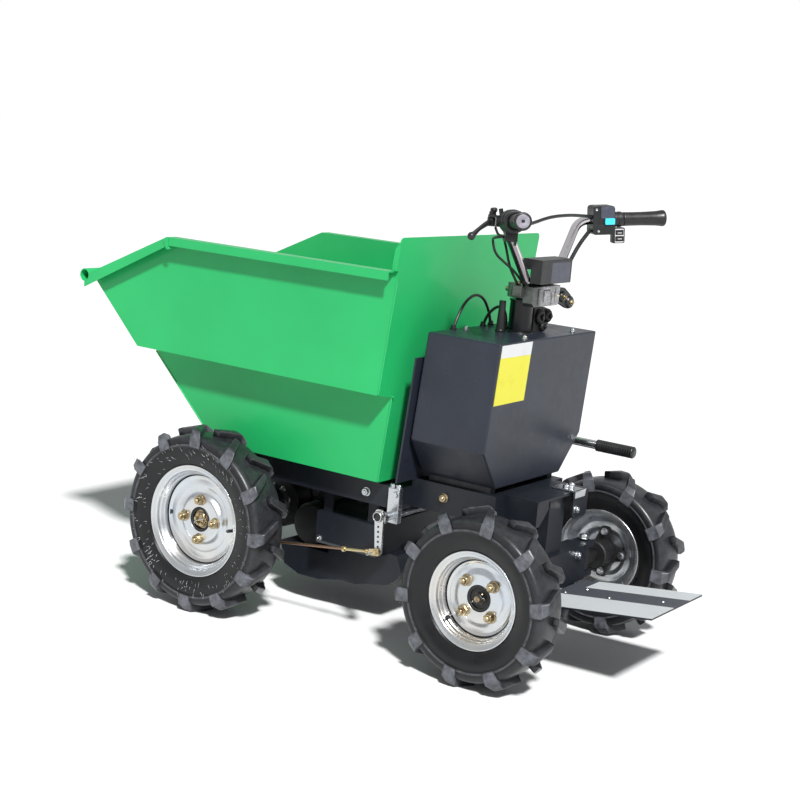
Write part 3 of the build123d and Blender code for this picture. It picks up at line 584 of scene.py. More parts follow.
def ribbed_step(name, colour):
    """Step covering: fine ribs across a pale or dark strip, dulled by shoes."""
    f = Finish(name)
    ribs = f.node("ShaderNodeTexWave", {"wave_type": "BANDS", "bands_direction": "X"},
                  {"Vector": f.place, "Scale": 190.0, "Distortion": 0.0}, "Fac")
    scuffs = f.noise(30.0, 6.0, 0.7, f.stretched((1, 3, 1)))
    return f.dress(f.shades(colour, 0.82, 1.1, ribs * 0.6 + scuffs * 0.4),
                   dull=(scuffs, 0.4, 0.62), bumps=(ribs, 0.3, 0.0008))


# ---------------- settings
def paint_of(slot):
    """The record's base colour for a material slot."""
    return next(m["base_color"] for m in RECORD["materials"] if m["slot"] == slot)


def colour(name, description, default):
    return FloatVectorProperty(name=name, description=description, default=tuple(default), size=3,
                               subtype="COLOR", min=0.0, max=1.0)


def amount(name, description, default, **rest):
    return FloatProperty(name=name, description=description, default=default, **rest)


def length(name, description, default):
    """A length in millimetres of the model, shown as metres."""
    return amount(name, description, default * MM, min=0.0, unit="LENGTH", subtype="DISTANCE", precision=4)


def angle(name, description, degrees):
    return amount(name, description, math.radians(degrees), subtype="ANGLE", unit="ROTATION")


class DUMPER_finish_settings(bpy.types.PropertyGroup):
    skip: colour("Skip", "Gloss paint of the skip", (0.016, 0.4, 0.115))
    frame: colour("Frame", "Powder coat of the frame", (0.0095, 0.0118, 0.0168))
    box: colour("Box", "Powder coat of the control box", (0.017, 0.021, 0.032))
    rubber: colour("Tyres", "Rubber of the tyres", paint_of("tyre"))
    zinc: colour("Zinc", "Plating of the rims and small steel parts", paint_of("zinc"))
    label: colour("Label", "Ground of the blank label", (0.67, 0.63, 0.025))
    button: colour("Button", "Button on the right housing", (0.05, 0.62, 0.78))
    coat: amount("Gloss", "Weight of the skip's clear gloss", 0.12, min=0, max=1, subtype="FACTOR")
    # The tyres' scuffs, dust and painted sheen on the shoulders all go this pale.
    wear_and_sheen: amount("Scuffing", "How pale the lugs' edges are worn", 2.4, min=1, max=4)


class DUMPER_wheel_settings(bpy.types.PropertyGroup):
    lug_depth: length("Lug depth", "Height of the lugs over the carcass", 20)
    sweep: angle("Lug sweep", "How far a lug's outer end lags its inner end", 9)
    round_over: length("Lug rounding", "Rounding along the lugs' top edges", 3.4)
    nut: length("Wheel nut", "Width across the wheel nuts' flats", 20.5)
    nut_circle: length("Nut circle", "Radius of the circle of wheel nuts", 50)
    hairs: IntProperty(name="Moulding hairs", description="Hairs left by the mould on a front tyre's side",
                       default=190, min=0, max=400)
    sides: IntProperty(name="Sides", description="Segments round a wheel", default=120, min=48, max=192)


class DUMPER_bar_settings(bpy.types.PropertyGroup):
    bar: length("Bar radius", "Radius of the handlebar's tube", 11)
    grip_end: length("Grip end radius", "Radius of the grips' flared ends", 20)
    grip_neck: length("Grip neck radius", "Radius of the grips where the hand closes", 16.4)
    cable: length("Cable radius", "Radius of the thin control cables", 3)


class DUMPER_fitting_settings(bpy.types.PropertyGroup):
    bolt: length("Bolt", "Width across the flats of the frame's bolts", 16)
    small_bolt: length("Small bolt", "Width across the flats of the covers' bolts", 10)
    rounding: length("Fold rounding", "Rounding along the folded sheet's edges", 4)


class DUMPER_stage_settings(bpy.types.PropertyGroup):
    eye: FloatVectorProperty(name="Eye", description="Where the camera stands", size=3,
                             default=(-2.23395, 3.331, 1.285), subtype="TRANSLATION", unit="LENGTH")
    azimuth: angle("Azimuth", "Turn of the view about the vertical", 213.86)
    elevation: angle("Elevation", "How far the camera looks down", 10.39)
    roll: angle("Roll", "Turn of the camera about its own line of sight", 4.86)
    lens: amount("Lens", "Focal length on a 36 mm sensor", 72.97, min=10)
    sky: amount("Sky", "Strength of the soft light from all round", 0.24, min=0)
    key: amount("Key light", "Strength of the far light over the left rear", 5.0, min=0)
    softness: angle("Softness", "How wide the far light looks from the machine", 5)
    gloss: amount("Gloss light", "Power of the near light that the gloss reflects", 16.0, min=0, unit="POWER")


COATS = {}


class DUMPER_OT_finishes(bpy.types.Operator):
    """Mixes every finish and gives each CAD node its own"""
    bl_idname = "dumper.finishes"
    bl_label = "Finishes"

    def execute(self, context):
        s = context.scene.dumper_finish
        for name, kind, *recipe in (
            ("skip_paint", gloss_paint, s.skip, s.coat),
            ("column_black", gloss_paint, shade(s.frame, 0.2), 0.3),
            ("frame_paint", powder_coat, s.frame, 0.36),
            ("box_paint", powder_coat, s.box, 0.32),
            ("zinc", zinc_plate, shade(s.zinc, 0.85)),
            ("zinc_yellow", zinc_plate, shade(paint_of("zinc_yellow"), 0.8), 0.3, 0.1),
            ("chrome", chrome),
            ("tyre", rubber, shade(s.rubber, 0.1), s.wear_and_sheen * 8.5, 0.31),
            ("mould_hair", moulded, (0.42, 0.42, 0.44), 0.5),
            ("black_iron", black_iron, shade(paint_of("black_iron"), 0.28)),
            ("alloy", cast_alloy),
            ("black_plastic", moulded, shade(paint_of("black_plastic"), 0.28), 0.36),
            ("grip_rubber", moulded, shade(paint_of("grip_rubber"), 0.3), 0.36, 260.0),
            ("pad_rubber", rubber, paint_of("pad_rubber"), 1.5, 0.6),
            ("rim_zinc", zinc_plate, shade(s.zinc, 0.98), 0.29, 0.45),
            ("brass", greased_brass),
            ("copper", zinc_plate, (0.32, 0.2, 0.14), 0.42, 0.0),
            ("step_pale", ribbed_step, (0.55, 0.58, 0.59)),
            ("step_dark", ribbed_step, (0.06, 0.066, 0.078)),
            ("label", sticker, s.label),
            ("label_head", sticker, (0.62, 0.63, 0.64)),
            ("button", sticker, s.button),
            ("panel", moulded, (0.055, 0.06, 0.085), 0.32),
            ("grip_end", moulded, (0.25, 0.24, 0.28), 0.42),
        ):
            COATS[name] = kind(name, *recipe)
        slots = {row["node"]: row["material_slot"] for row in RECORD["subparts"]}
        for node, piece in NODES.items():
            for place in piece.material_slots:
                place.link = "OBJECT"
                place.material = COATS[slots[node]]
        return {"FINISHED"}


# ---------------- wheels
# Radii are from the axle and y from the wheel's middle plane: radius over the lugs,
# bead radius, rim flange y, half width, shoulder ridge radius, the disc's edge as
# radius and y, hub face y, and lugs a side.
Wheel = namedtuple("Wheel", "outer bead flange half ridge disc disc_y hub_y lugs")
FRONT = Wheel(232, 127, 42, 55, 190, 110.5, 11, 16, 12)
REAR = Wheel(207, 101.6, 35, 52, 163, 88, 4, 5, 10)
# Angles of one left-hand lug, the first nut and the valve are from the top.
Place = namedtuple("Place", "name size lug nut valve")
PLACES = (Place("front_left", FRONT, 8.2, 0, -92), Place("front_right", FRONT, 23.2, 0, -92),
          Place("rear_left", REAR, -1.5, 45, 130), Place("rear_right", REAR, 21, 0, 70))


def wheels():
    """Each wheel's place, size and centre, and 1 on the left or -1 on the right."""
    for at in PLACES:
        centre = spot(at.name + "_spin")
        yield at, at.size, centre, 1 if centre[1] > 0 else -1


def lug(w, s):
    """One bar of the chevron, worked out along v and across a. Along v, its y, foot,
    top, half width and lag follow a line through three stations, with a parabola at
    the middle one. Across a, a trapezoid with rounded top edges stands on its foot:
    the point at height h and distance a is at radius foot + h and angle a / top - lag."""
    crown = w.outer - s.lug_depth / MM
    stations = np.array([
        # y, foot, top, half width, percent of the lag
        (-5, crown - 8, w.outer, 9.5, 0),
        (w.half - 10, crown - 14, w.outer - 1.5, 12.5, 80),
        (w.half + 2, w.ridge - 4, w.outer - 17, 16.0, 100),
    ])
    rows = rounded(stations, 9, steps=6)
    rows = np.concatenate([rows[:1], rows[:1], rows, rows[-1:], rows[-1:]])
    rows[1, 0] += 1.6
    rows[-3, 0] -= 1.6
    y, foot, top, wide, percent = rows.T[:, :, None]
    c = s.round_over / MM
    t = np.linspace(0, np.pi / 2, 5)
    height = top - foot
    left_a = -wide + c - c * np.cos(t)
    left_h = height - c + c * np.sin(t)
    left_a = np.concatenate([-1.22 * wide, -1.08 * wide, left_a], 1)
    left_h = np.concatenate([0 * wide, height * 0.5, left_h], 1)
    across = np.concatenate([left_a, -left_a[:, ::-1]], 1)
    up = np.concatenate([left_h, left_h[:, ::-1]], 1)
    # The end rows are drawn in, so that the bar's ends have rounded rims.
    pull = np.ones_like(y)
    pull[[0, -1]] = 0.78
    lag = across * pull / top - s.sweep * percent / 100
    radius = foot + height / 2 + (up - height / 2) * pull
    points = np.stack([radius * np.sin(lag), y + 0 * lag, radius * np.cos(lag)], -1)
    # The top's long edges are worn pale, and so is the slanting outer end.
    worn = np.array([0, 0.15, 0.5, 0.9, 1.0, 0.9, 0.55, 0.55, 0.9, 1.0, 0.9, 0.5, 0.15, 0])
    outward = np.clip((y - w.half + 12) / 10, 0, 1)
    tones = np.maximum(worn * (0.35 + 0.5 * outward), 0.85 * outward * (radius - foot > 1))
    return woven(points, round_v=True, caps=True, tones=tones)


def carcass(w, s):
    """The tyre's body: a half profile from bead over side wall, ridge and shoulder to
    the crown, mirrored, its corners bridged by parabolas, then turned about the axle."""
    crown = w.outer - s.lug_depth / MM
    middle = (w.bead + 12.5 + w.ridge) / 2
    rows = np.array([
        # y, radius, cut
        (w.flange - 7.5, w.bead, 1), (w.flange - 1.6, w.bead + 11, 2), (w.flange + 1.2, w.bead + 15, 1),
        (w.flange + 3.4, w.bead + 15.8, 1), (w.flange + 4.2, w.bead + 18, 3), (w.half - 3.2, middle + 3, 16),
        (w.half - 3.6, w.ridge - 6, 3), (w.half - 0.8, w.ridge - 2.2, 1.2), (w.half, w.ridge + 0.6, 1.0),
        (w.half - 1.4, w.ridge + 3, 2), (w.half - 2.4, crown - 3.5, 15), (w.half - 26, crown + 2.2, 10),
    ])
    rows = np.concatenate([rows, rows[::-1] * (-1, 1, 1)])
    profile = rounded(rows[:, :2], rows[:, 2], closed=True, steps=4)
    above_ridge = profile[:, 1] - w.ridge
    # Paler towards the crown above the ridge: dust there, and a painted sheen where the shoulder faces up. A
    # pale line runs along the ridge.
    dust_and_sheen = np.clip((above_ridge - 6) / 8, 0, 1) * 0.15
    return turned(profile, s.sides, closed=True, tones=np.where(np.abs(above_ridge) < 2.6, 0.45, dust_and_sheen))


def hairs(w, s, rng):
    """Moulding hairs: thin three-sided spikes that stand off the outer side wall at
    random turns, the spike's foot on the wall's own line and its tip leaning over."""
    n = s.hairs
    turn = rng.uniform(0, 2 * np.pi, n)
    radius = rng.uniform(w.bead + 18, w.ridge + 2, n)
    wall_r = [w.bead + 15, (w.bead + 12.5 + w.ridge) / 2, w.ridge]
    y = np.interp(radius, wall_r, [w.flange + 2, w.half - 3.4, w.half - 1])
    lean = rng.uniform(0.1, 0.7, n)
    reach = rng.uniform(8, 15, n)
    k = around(3)
    foot_r = radius[:, None] + 0.8 * np.cos(k)
    foot_t = turn[:, None] + 0.8 * np.sin(k) / radius[:, None]
    foot_y = y[:, None] - 1.0 + 0 * foot_r
    tip_r = (radius + reach * lean * 1.6)[:, None]
    tip_t = (turn + rng.uniform(-0.2, 0.8, n) * reach / radius)[:, None]
    tip_y = np.minimum(y + reach * 0.5, w.half + 1.9)[:, None]
    r, t, y = (np.concatenate(pair, 1) for pair in ((foot_r, tip_r), (foot_t, tip_t), (foot_y, tip_y)))
    points = np.stack([r * np.sin(t), y, r * np.cos(t)], -1)
    sides = np.array([0, 1, 3, 1, 2, 3, 2, 0, 3, 2, 1, 0])
    corners = (np.arange(n)[:, None] * 4 + sides).ravel()
    return Shape(points, corners, np.full(n * 4, 3), np.ones(n * 4))


class DUMPER_OT_tyres(bpy.types.Operator):
    """Four lug tyres with rounded shoulders and worn chevron bars"""
    bl_idname = "dumper.tyres"
    bl_label = "Tyres"

    def execute(self, context):
        s = context.scene.dumper_wheel
        rng = np.random.default_rng(4)
        for at, w, centre, hand in wheels():
            turns = at.lug + np.arange(w.lugs) * 360 / w.lugs
            bar = lug(w, s)
            shape = carcass(w, s).put(centre, degrees=at.lug) + bar.copies(spun(turns, centre))
            shape += bar.copies(spun(turns + 180 / w.lugs, centre, -1))
            if w is FRONT and s.hairs:
                shape += hairs(w, s, rng).put(centre, hand).coated(1)
            make(at.name + "_lug_tyre", at.name + "_wheel", shape, "tyre mould_hair", at.name + "_tyre",
                 sharp=44)
        return {"FINISHED"}


def pressed_steel(w, first_nut, sides):
    """The rim: flanges, bead seats, barrel and dished disc as one sheet's section, with
    the seam round the disc's edge as a shallow groove, turned about the axle. Painted
    shade darkens that groove and the creases along the barrel's steps. The disc is pressed
    in shallow lobes: y falls by cos(4 t) between its two rings."""
    bead, flange, disc, disc_y, hub_y = w.bead, w.flange, w.disc, w.disc_y, w.hub_y
    step = (flange - 4 - disc_y) / 3
    rows = np.array([
        # y, radius, cut, painted shade
        (flange - 1, bead + 12.4, 1.0, 0), (flange - 7, bead, 3, 0), (disc_y, disc + 3, 6, 0),
        (7 - flange, bead, 4, 0), (1 - flange, bead + 12.4, 1, 0), (-flange - 2, bead + 10.6, 1.4, 0),
        (4 - flange, bead - 3, 4, 0), (disc_y - 9, disc - 8, 3, 0), (disc_y - 9, 62, 4, 0),
        (hub_y - 4, 54, 4, 0), (hub_y - 4, 31, 0.5, 0), (hub_y, 31, 0.8, 0), (hub_y, 57, 4, 0),
        (disc_y - 5, 65, 5, 0), (disc_y - 5, 80, 3, 0), (disc_y - 3.6, 84, 3, 0),
        (disc_y - 5, disc - 10, 4, 0), (disc_y - 1, disc - 3.2, 1.5, 0),
        (disc_y - 0.6, disc - 1.6, 0.3, 1), (disc_y - 3.2, disc - 1.2, 0.3, 1),
        (disc_y - 3, disc + 0.4, 0.3, 1), (disc_y + 1, disc + 0.9, 0.5, 0.6),
        (disc_y + step, disc + 3.2, 2, 0), (disc_y + step + 1.5, disc + 5.6, 1.5, 0.15),
        (disc_y + 2 * step, bead - 7, 2, 0), (disc_y + 2 * step + 1.5, bead - 4.6, 1.5, 0.15),
        (flange - 4, bead - 2.6, 2.5, 0), (flange - 1.6, bead + 4.6, 2, 0.1),
        (flange + 2, bead + 10.2, 1.6, 0), (flange + 1.2, bead + 12.4, 1.0, 0),
    ])
    line = rounded(rows[:, :2], rows[:, 2], closed=True, steps=4)
    steel = turned(line, sides, closed=True, tones=np.repeat(rows[:, 3], 4))
    x, y, z = steel.points.T
    r = np.hypot(x, z)
    lobes = np.cos(4 * (np.arctan2(x, z) - math.radians(first_nut)))
    band = np.clip((r - 60) / 8, 0, 1) * np.clip((disc - 9 - r) / 8, 0, 1)
    steel.points[:, 1] += 2.2 * band * lobes * (y < disc_y + 2) * (y > disc_y - 14)
    return steel


class DUMPER_OT_rims(bpy.types.Operator):
    """Four pressed rims with their valves and wheel nuts"""
    bl_idname = "dumper.rims"
    bl_label = "Rims"

    def execute(self, context):
        s = context.scene.dumper_wheel
        seat = turned([(0, 0), (0, 14.5), (1.4, 14.0), (2.4, 11.5), (2.4, 0)], 36)
        nut = seat + fastener(s.nut / MM, 13, stud=6, reach=6).put((0, 2.2, 0))
        stem = turned([(-2, 0), (-2, 6.5), (3, 6.2), (6, 4.6), (16, 4.0), (17, 3.2), (18, 2.6), (18, 0)], 20)
        cap = turned([(16.5, 0), (16.5, 3.9), (18, 4.2), (25, 4.0), (27, 3.0), (27.4, 0)], 20)
        shaded_hole = turned([(0, 0), (0, 6.4), (0.8, 6.0), (0.8, 0)], 24)
        for at, w, centre, hand in wheels():
            nuts = nut.put((0, w.hub_y, s.nut_circle / MM)).copies(spun(at.nut + np.arange(4) * 90))
            # The valve leans in towards the axle as it comes out of the barrel.
            a = math.radians(at.valve)
            r = w.disc + (4 if w is FRONT else 3)
            foot = (r * math.sin(a), w.disc_y + 1, r * math.cos(a))
            lean = (-0.35 * math.sin(a), 1, -0.35 * math.cos(a))
            shape = pressed_steel(w, at.nut, s.sides) + nuts.coated(1)
            shape += (stem + cap).at(foot, lean).coated(2)
            # A dark cap on the front disc is painted shade inside a hole.
            if w is FRONT:
                b = math.radians(at.valve + 184)
                r = w.disc - 5.5
                shape += shaded_hole.put((r * math.sin(b), w.disc_y - 2.6, r * math.cos(b))).coated(2)
            make(at.name + "_pressed_rim", at.name + "_wheel", shape.put(centre, hand),
                 "rim_zinc brass black_plastic", at.name + "_rim", sharp=32)
        return {"FINISHED"}


def castle_nut(across, height, crown, bore):
    """A slotted nut along +Y. Its crown's height at angle t drops by the slot's depth
    wherever cos(6 t) is over 0.55; its lower part is a hexagon in polar form."""
    t = np.arange(72) * 360.0 / 72
    flat = hexagon(across, t)
    slot = 1 / (1 + np.exp(-(np.cos(np.radians(6 * t)) - 0.55) * 40))
    barrel = across * 0.44
    top = height + crown * (1 - slot)
    rows = [(0, flat), (height - 1.5, flat), (height, np.minimum(flat, across / 2)), (height, barrel),
            (top, barrel), (top, bore), (0, bore)]
    return lofted(rows, t, round_v=True)


def hub(w, hand, sides):
    """The brake drum with its stepped face, or at the rear the hub with its four-armed
    plate; the y of its face and of the axle's end; and the width across its nut's flats."""
    if w is FRONT:
        line = [(-46, 74), (-46, 16.1), (8, 16.1), (8, 24), (15, 24), (16, 25), (16, 29), (15, 29.9),
                (12, 29.9), (12, 53), (1.9, 53), (1.9, 78), (0, 80), (-18, 80), (-19, 78.6), (-21, 78.6),
                (-22, 80), (-38, 80), (-40, 78)]
        return turned(line, sides, closed=True), 8, 15.4, 34
    line = [(-60, 33), (-60, 12.6), (-3, 12.6), (-3, 24), (4, 24), (5, 25), (5, 29), (4, 29.9), (1, 29.9),
            (1, 34), (-52, 34), (-54, 36), (-58, 36)]
    start = 45 if hand > 0 else 0
    quarters = start + np.arange(4) * 90
    # One arm and the hollow after it, as angles and radii.
    turns, radii = np.array([(-13, 60), (-9, 66), (9, 66), (13, 60), (32, 40), (45, 36), (58, 40)]).T
    turns = np.radians(quarters[:, None] + turns).ravel()
    star = np.stack([np.tile(radii, 4) * np.sin(turns), np.tile(radii, 4) * np.cos(turns)], -1)
    heads = fastener(13, 7, washer=9.5).at((0, -8, 52), (0, -1, 0)).copies(spun(quarters))
    shape = turned(line, 96, closed=True) + plate(star, 6, -8, 1, steps=4) + heads.coated(2)
    return shape, -3, 13.4, 26


class DUMPER_OT_hubs(bpy.types.Operator):
    """Hubs with their drums or star plates, axle nuts and cotter pins"""
    bl_idname = "dumper.hubs"
    bl_label = "Hubs"

    def execute(self, context):
        sides = context.scene.dumper_wheel.sides
        for at, w, centre, hand in wheels():
            shape, face, rod_end, across = hub(w, hand, sides)
            # Grease rings, the nut on the axle's end and its cotter pin.
            line = [(0, 0), (0, 23.6), (1.2, 23.2), (1.2, 20), (2.4, 19.6), (2.4, 17.4), (1.4, 17), (1.4, 0)]
            rings = turned(line)
            nut = castle_nut(across, 7, 5, across * 0.26)
            rod, reach = across * 0.27, rod_end - face
            end = turned([(0, 0), (0, rod), (reach, rod), (reach + 0.9, across * 0.2), (reach + 0.9, 0)], 36)
            pin = hung([(-17, 12, 6), (-9, 12.4, 3), (9, 12.4, -4), (14, 12, -9), (15, 8, -13)])
            pin = piped(pin, 1.3, 8, UP)
            shape += ((rings + nut.put((0, 1, 0)) + end).coated(1) + pin.coated(2)).put((0, face, 0))
            make(at.name + "_cast_hub", at.name + "_wheel", shape.put(centre, hand), "black_iron brass zinc",
                 at.name + "_hub", sharp=30)
        return {"FINISHED"}


# ---------------- axles
class DUMPER_OT_axles(bpy.types.Operator):
    """The front axle with its drums' plates, the drive motor, knuckles and tie rods"""
    bl_idname = "dumper.axles"
    bl_label = "Axles"

    def execute(self, context):
        x, y, z = spot("front_left_spin")
        reach = y - 52
        half = [(4, 73), (4, 70), (56, 70), (62, 69), (66, 44), (74, 34), (reach - 4, 27), (reach, 26.5),
                (reach, 0)]
        line = [(-along, radius) for along, radius in half[::-1]] + half
        shaft = turned([(reach - 4, 0), (reach - 4, 15.9), (y + 12.6, 15.9), (y + 14, 14.4), (y + 14, 0)], 40)
        casing = knob(line, [1] + [3] * 14 + [1], 72) + shaft + shaft.put((0, 0, 0), -1)
        bolts = fastener(12, 7, washer=8.5).put((0, 66, 40)).copies(spun(np.arange(8) * 45 + 15))
        make("front_axle_casing", "chassis", (casing + bolts.coated(1)).put((x, 0, z)), "black_iron zinc",
             "front_axle", sharp=30)
        # The posts are plates of their own, so that only they are bevelled.
        under = edges("side_rails")[0][2] - z
        posts = sum(slab((-30, 170 * hand, 6), (30, 194 * hand, under)) for hand in (1, -1))
        make("front_axle_posts", "chassis", posts.put((x, 0, z)), "frame_paint", bevel=2.5)
        plate = ring([(-47, 17), (-47, 79), (-49.5, 80), (-52, 60), (-51, 34), (-54.5, 30), (-54.5, 17)],
                     [0.5, 1, 1, 4, 3, 2, 0.5], 96)
        make("drum_back_plates", "chassis", plate.put((x, y, z)) + plate.put((x, -y, z), -1), "frame_paint",
             "brake_plates")

        line = [(0, 0), (0, 30), (3, 50), (12, 56), (36, 56), (38, 54.6), (42, 54.6), (44, 56), (176, 56),
                (178, 54.6), (182, 54.6), (184, 56), (210, 56), (219, 50), (222, 30), (222, 0)]
        hanger = slab((620, -60, 252), (648, 60, edges("drive_motor")[1][2]))
        make("motor_case", "chassis", turned(line, 72).put((634, -111, 206)) + hanger, "black_iron",
             "drive_motor", sharp=30)

        stub = turned([(0, 0), (0, 17), (46, 17), (50, 15), (50, 12.5), (132.6, 12.5), (134, 11),
                       (134, 0)], 40)
        boss = turned([(185, 9.2), (185, 17), (186, 18), (242, 18), (243, 17), (243, 9.2)], 48, closed=True)
        arm = prism(pad(44, 9, 8), 195, 205, "z")
        eye = turned([(0, 0), (0, 13.4), (0.8, 14), (9.2, 14), (10, 13.4), (10, 0)], 36)
        cap = fastener(17, 8, washer=11)
        ball = knob([(0, 0), (0, 9.5), (3, 10), (10, 10), (13, 8), (13, 0)], 1.2)
        for name, hand in (("left", 1), ("right", -1)):
            px, py, pz = spot(f"knuckle_{name}_turn")
            make(f"steering_knuckle_{name}", f"knuckle_{name}",
                 boss.at((px, py, 0)) + stub.put((px, py, pz), hand) + arm.put((38, py, 0))
                 + eye.at((70, py, 195)) + cap.at((70, py, 205)).coated(1),
                 "black_iron zinc", f"knuckle_{name}", sharp=32)
            a = np.array([88, 20 * hand, 188.0])
            b = np.array([70, py, 188.0])
            way = unit(b - a)
            link = piped([a, b], 5, 16) + sum(ball.at(end - (0, 0, 6.5)) for end in (a, b))
            for along in (18, np.linalg.norm(b - a) - 24):
                link += fastener(14, 6).at(a + way * along, way)
            make(f"steering_link_{name}", f"tie_rod_{name}", link, "zinc", f"tie_rod_{name}", sharp=32)
        return {"FINISHED"}


# ---------------- handlebar
# The tube's middle line on the left: its end, its bend beside the cover, and its foot.
BAR_END, BAR_KNEE, BAR_FOOT = np.array([(-40, 340, 1058), (104, 174, 1039), (94, 64, 900)], float)
INWARD = unit(BAR_KNEE - BAR_END)


def bar_frame(hand):
    """A frame on one grip stretch: its first axis points ahead across the bar, its
    second runs along the bar from its end, and its third is their upright partner."""
    flip = np.array([1, hand, 1])
    along = INWARD * flip
    ahead = unit(hand * np.array([-along[1], along[0], 0]))
    over = np.cross(ahead, along)
    matrix = np.eye(4)
    matrix[:3, :3] = np.stack([ahead, along, over * np.sign(over[2])], 1)
    matrix[:3, 3] = BAR_END * flip
    return matrix


def on_bar(hand, point):
    """A point given as (ahead, along, up) from one end of the bar."""
    matrix = bar_frame(hand)
    return matrix[:3, :3] @ np.array(point, float) + matrix[:3, 3]


def near_bar(hand, along, offset):
    """A point given by how far it is along one half of the bar, and its offset from there."""
    return (BAR_END + INWARD * along) * (1, hand, 1) + np.array(offset, float)


def ribbed(shape, count, depth, low, high):
    """Fine ribs along a turned shape: between two heights its radius swells by cos(count t)."""
    x, y, z = shape.points.T
    hold = (y > low) & (y < high)
    swell = 1 + hold * depth / np.maximum(np.hypot(x, z), 1) * np.cos(count * np.arctan2(x, z))
    shape.points[:, [0, 2]] *= swell[:, None]
    return shape


class DUMPER_OT_handlebar(bpy.types.Operator):
    """The bent tube, its two grips and the cover over its clamp"""
    bl_idname = "dumper.handlebar"
    bl_label = "Handlebar"

    def execute(self, context):
        s = context.scene.dumper_bar
        half = np.array([BAR_END, BAR_KNEE, BAR_FOOT])
        path = rounded(np.concatenate([half, half[::-1] * (1, -1, 1)]), [29, 11.6, 11.6, 29], steps=12)
        make("bent_bar", "steering", piped(path, s.bar / MM, 28), "chrome", "handlebar")

        end, neck = s.grip_end / MM, s.grip_neck / MM
        line = [(-0.9, 0), (-0.9, 3.4), (-3, 3.8), (-3, end - 2.6), (-2.2, end - 0.9), (0, end), (4, end),
                (9, end - 1.1), (20, end - 2.3), (34, neck + 0.7), (58, neck), (84, neck), (100, neck + 0.3),
                (104, neck + 0.6), (106.4, neck), (107, neck - 2), (107, 11.2), (2.5, 11.2)]
        grip = ribbed(turned(rounded(line, 1.4, steps=3), 72), 36, 0.22, 6, 104)
        disc = turned([(-3.15, 3.9), (-3.5, 5), (-3.5, end - 6.5), (-3.1, end - 5.3), (-2.9, end - 5.7),
                       (-2.9, 4.2)], 60, closed=True)
        grip += disc.coated(1)
        make("hand_grips", "steering", grip.moved(bar_frame(1)) + grip.moved(bar_frame(-1)),
             "grip_rubber grip_end", "grips", sharp=50)

        (x0, y0, z0), (x1, y1, z1) = edges("handlebar_cover")
        shelf = 930.0
        step = BAR_FOOT[0] - 12
        reach = x1 + 13
        side = [(x0, z0), (step, z0), (step, shelf), (reach, shelf), (reach, z1 - 6), (reach - 18, z1),
                (x0, z1 - 1)]
        panel = slab((x0 - 0.1, y0 + 6, z0 + 1), (x0 + 8, 24, z1 - 7))
        seam = slab((x0 + 22, y0 - 0.5, shelf + 3), (reach - 6, y1 + 0.5, shelf + 5.5))
        make("clamp_cover", "steering", prism(side, y0, y1) + panel.coated(1) + seam, "black_plastic panel",
             "handlebar_cover", bevel=5.5, segments=5)
        return {"FINISHED"}


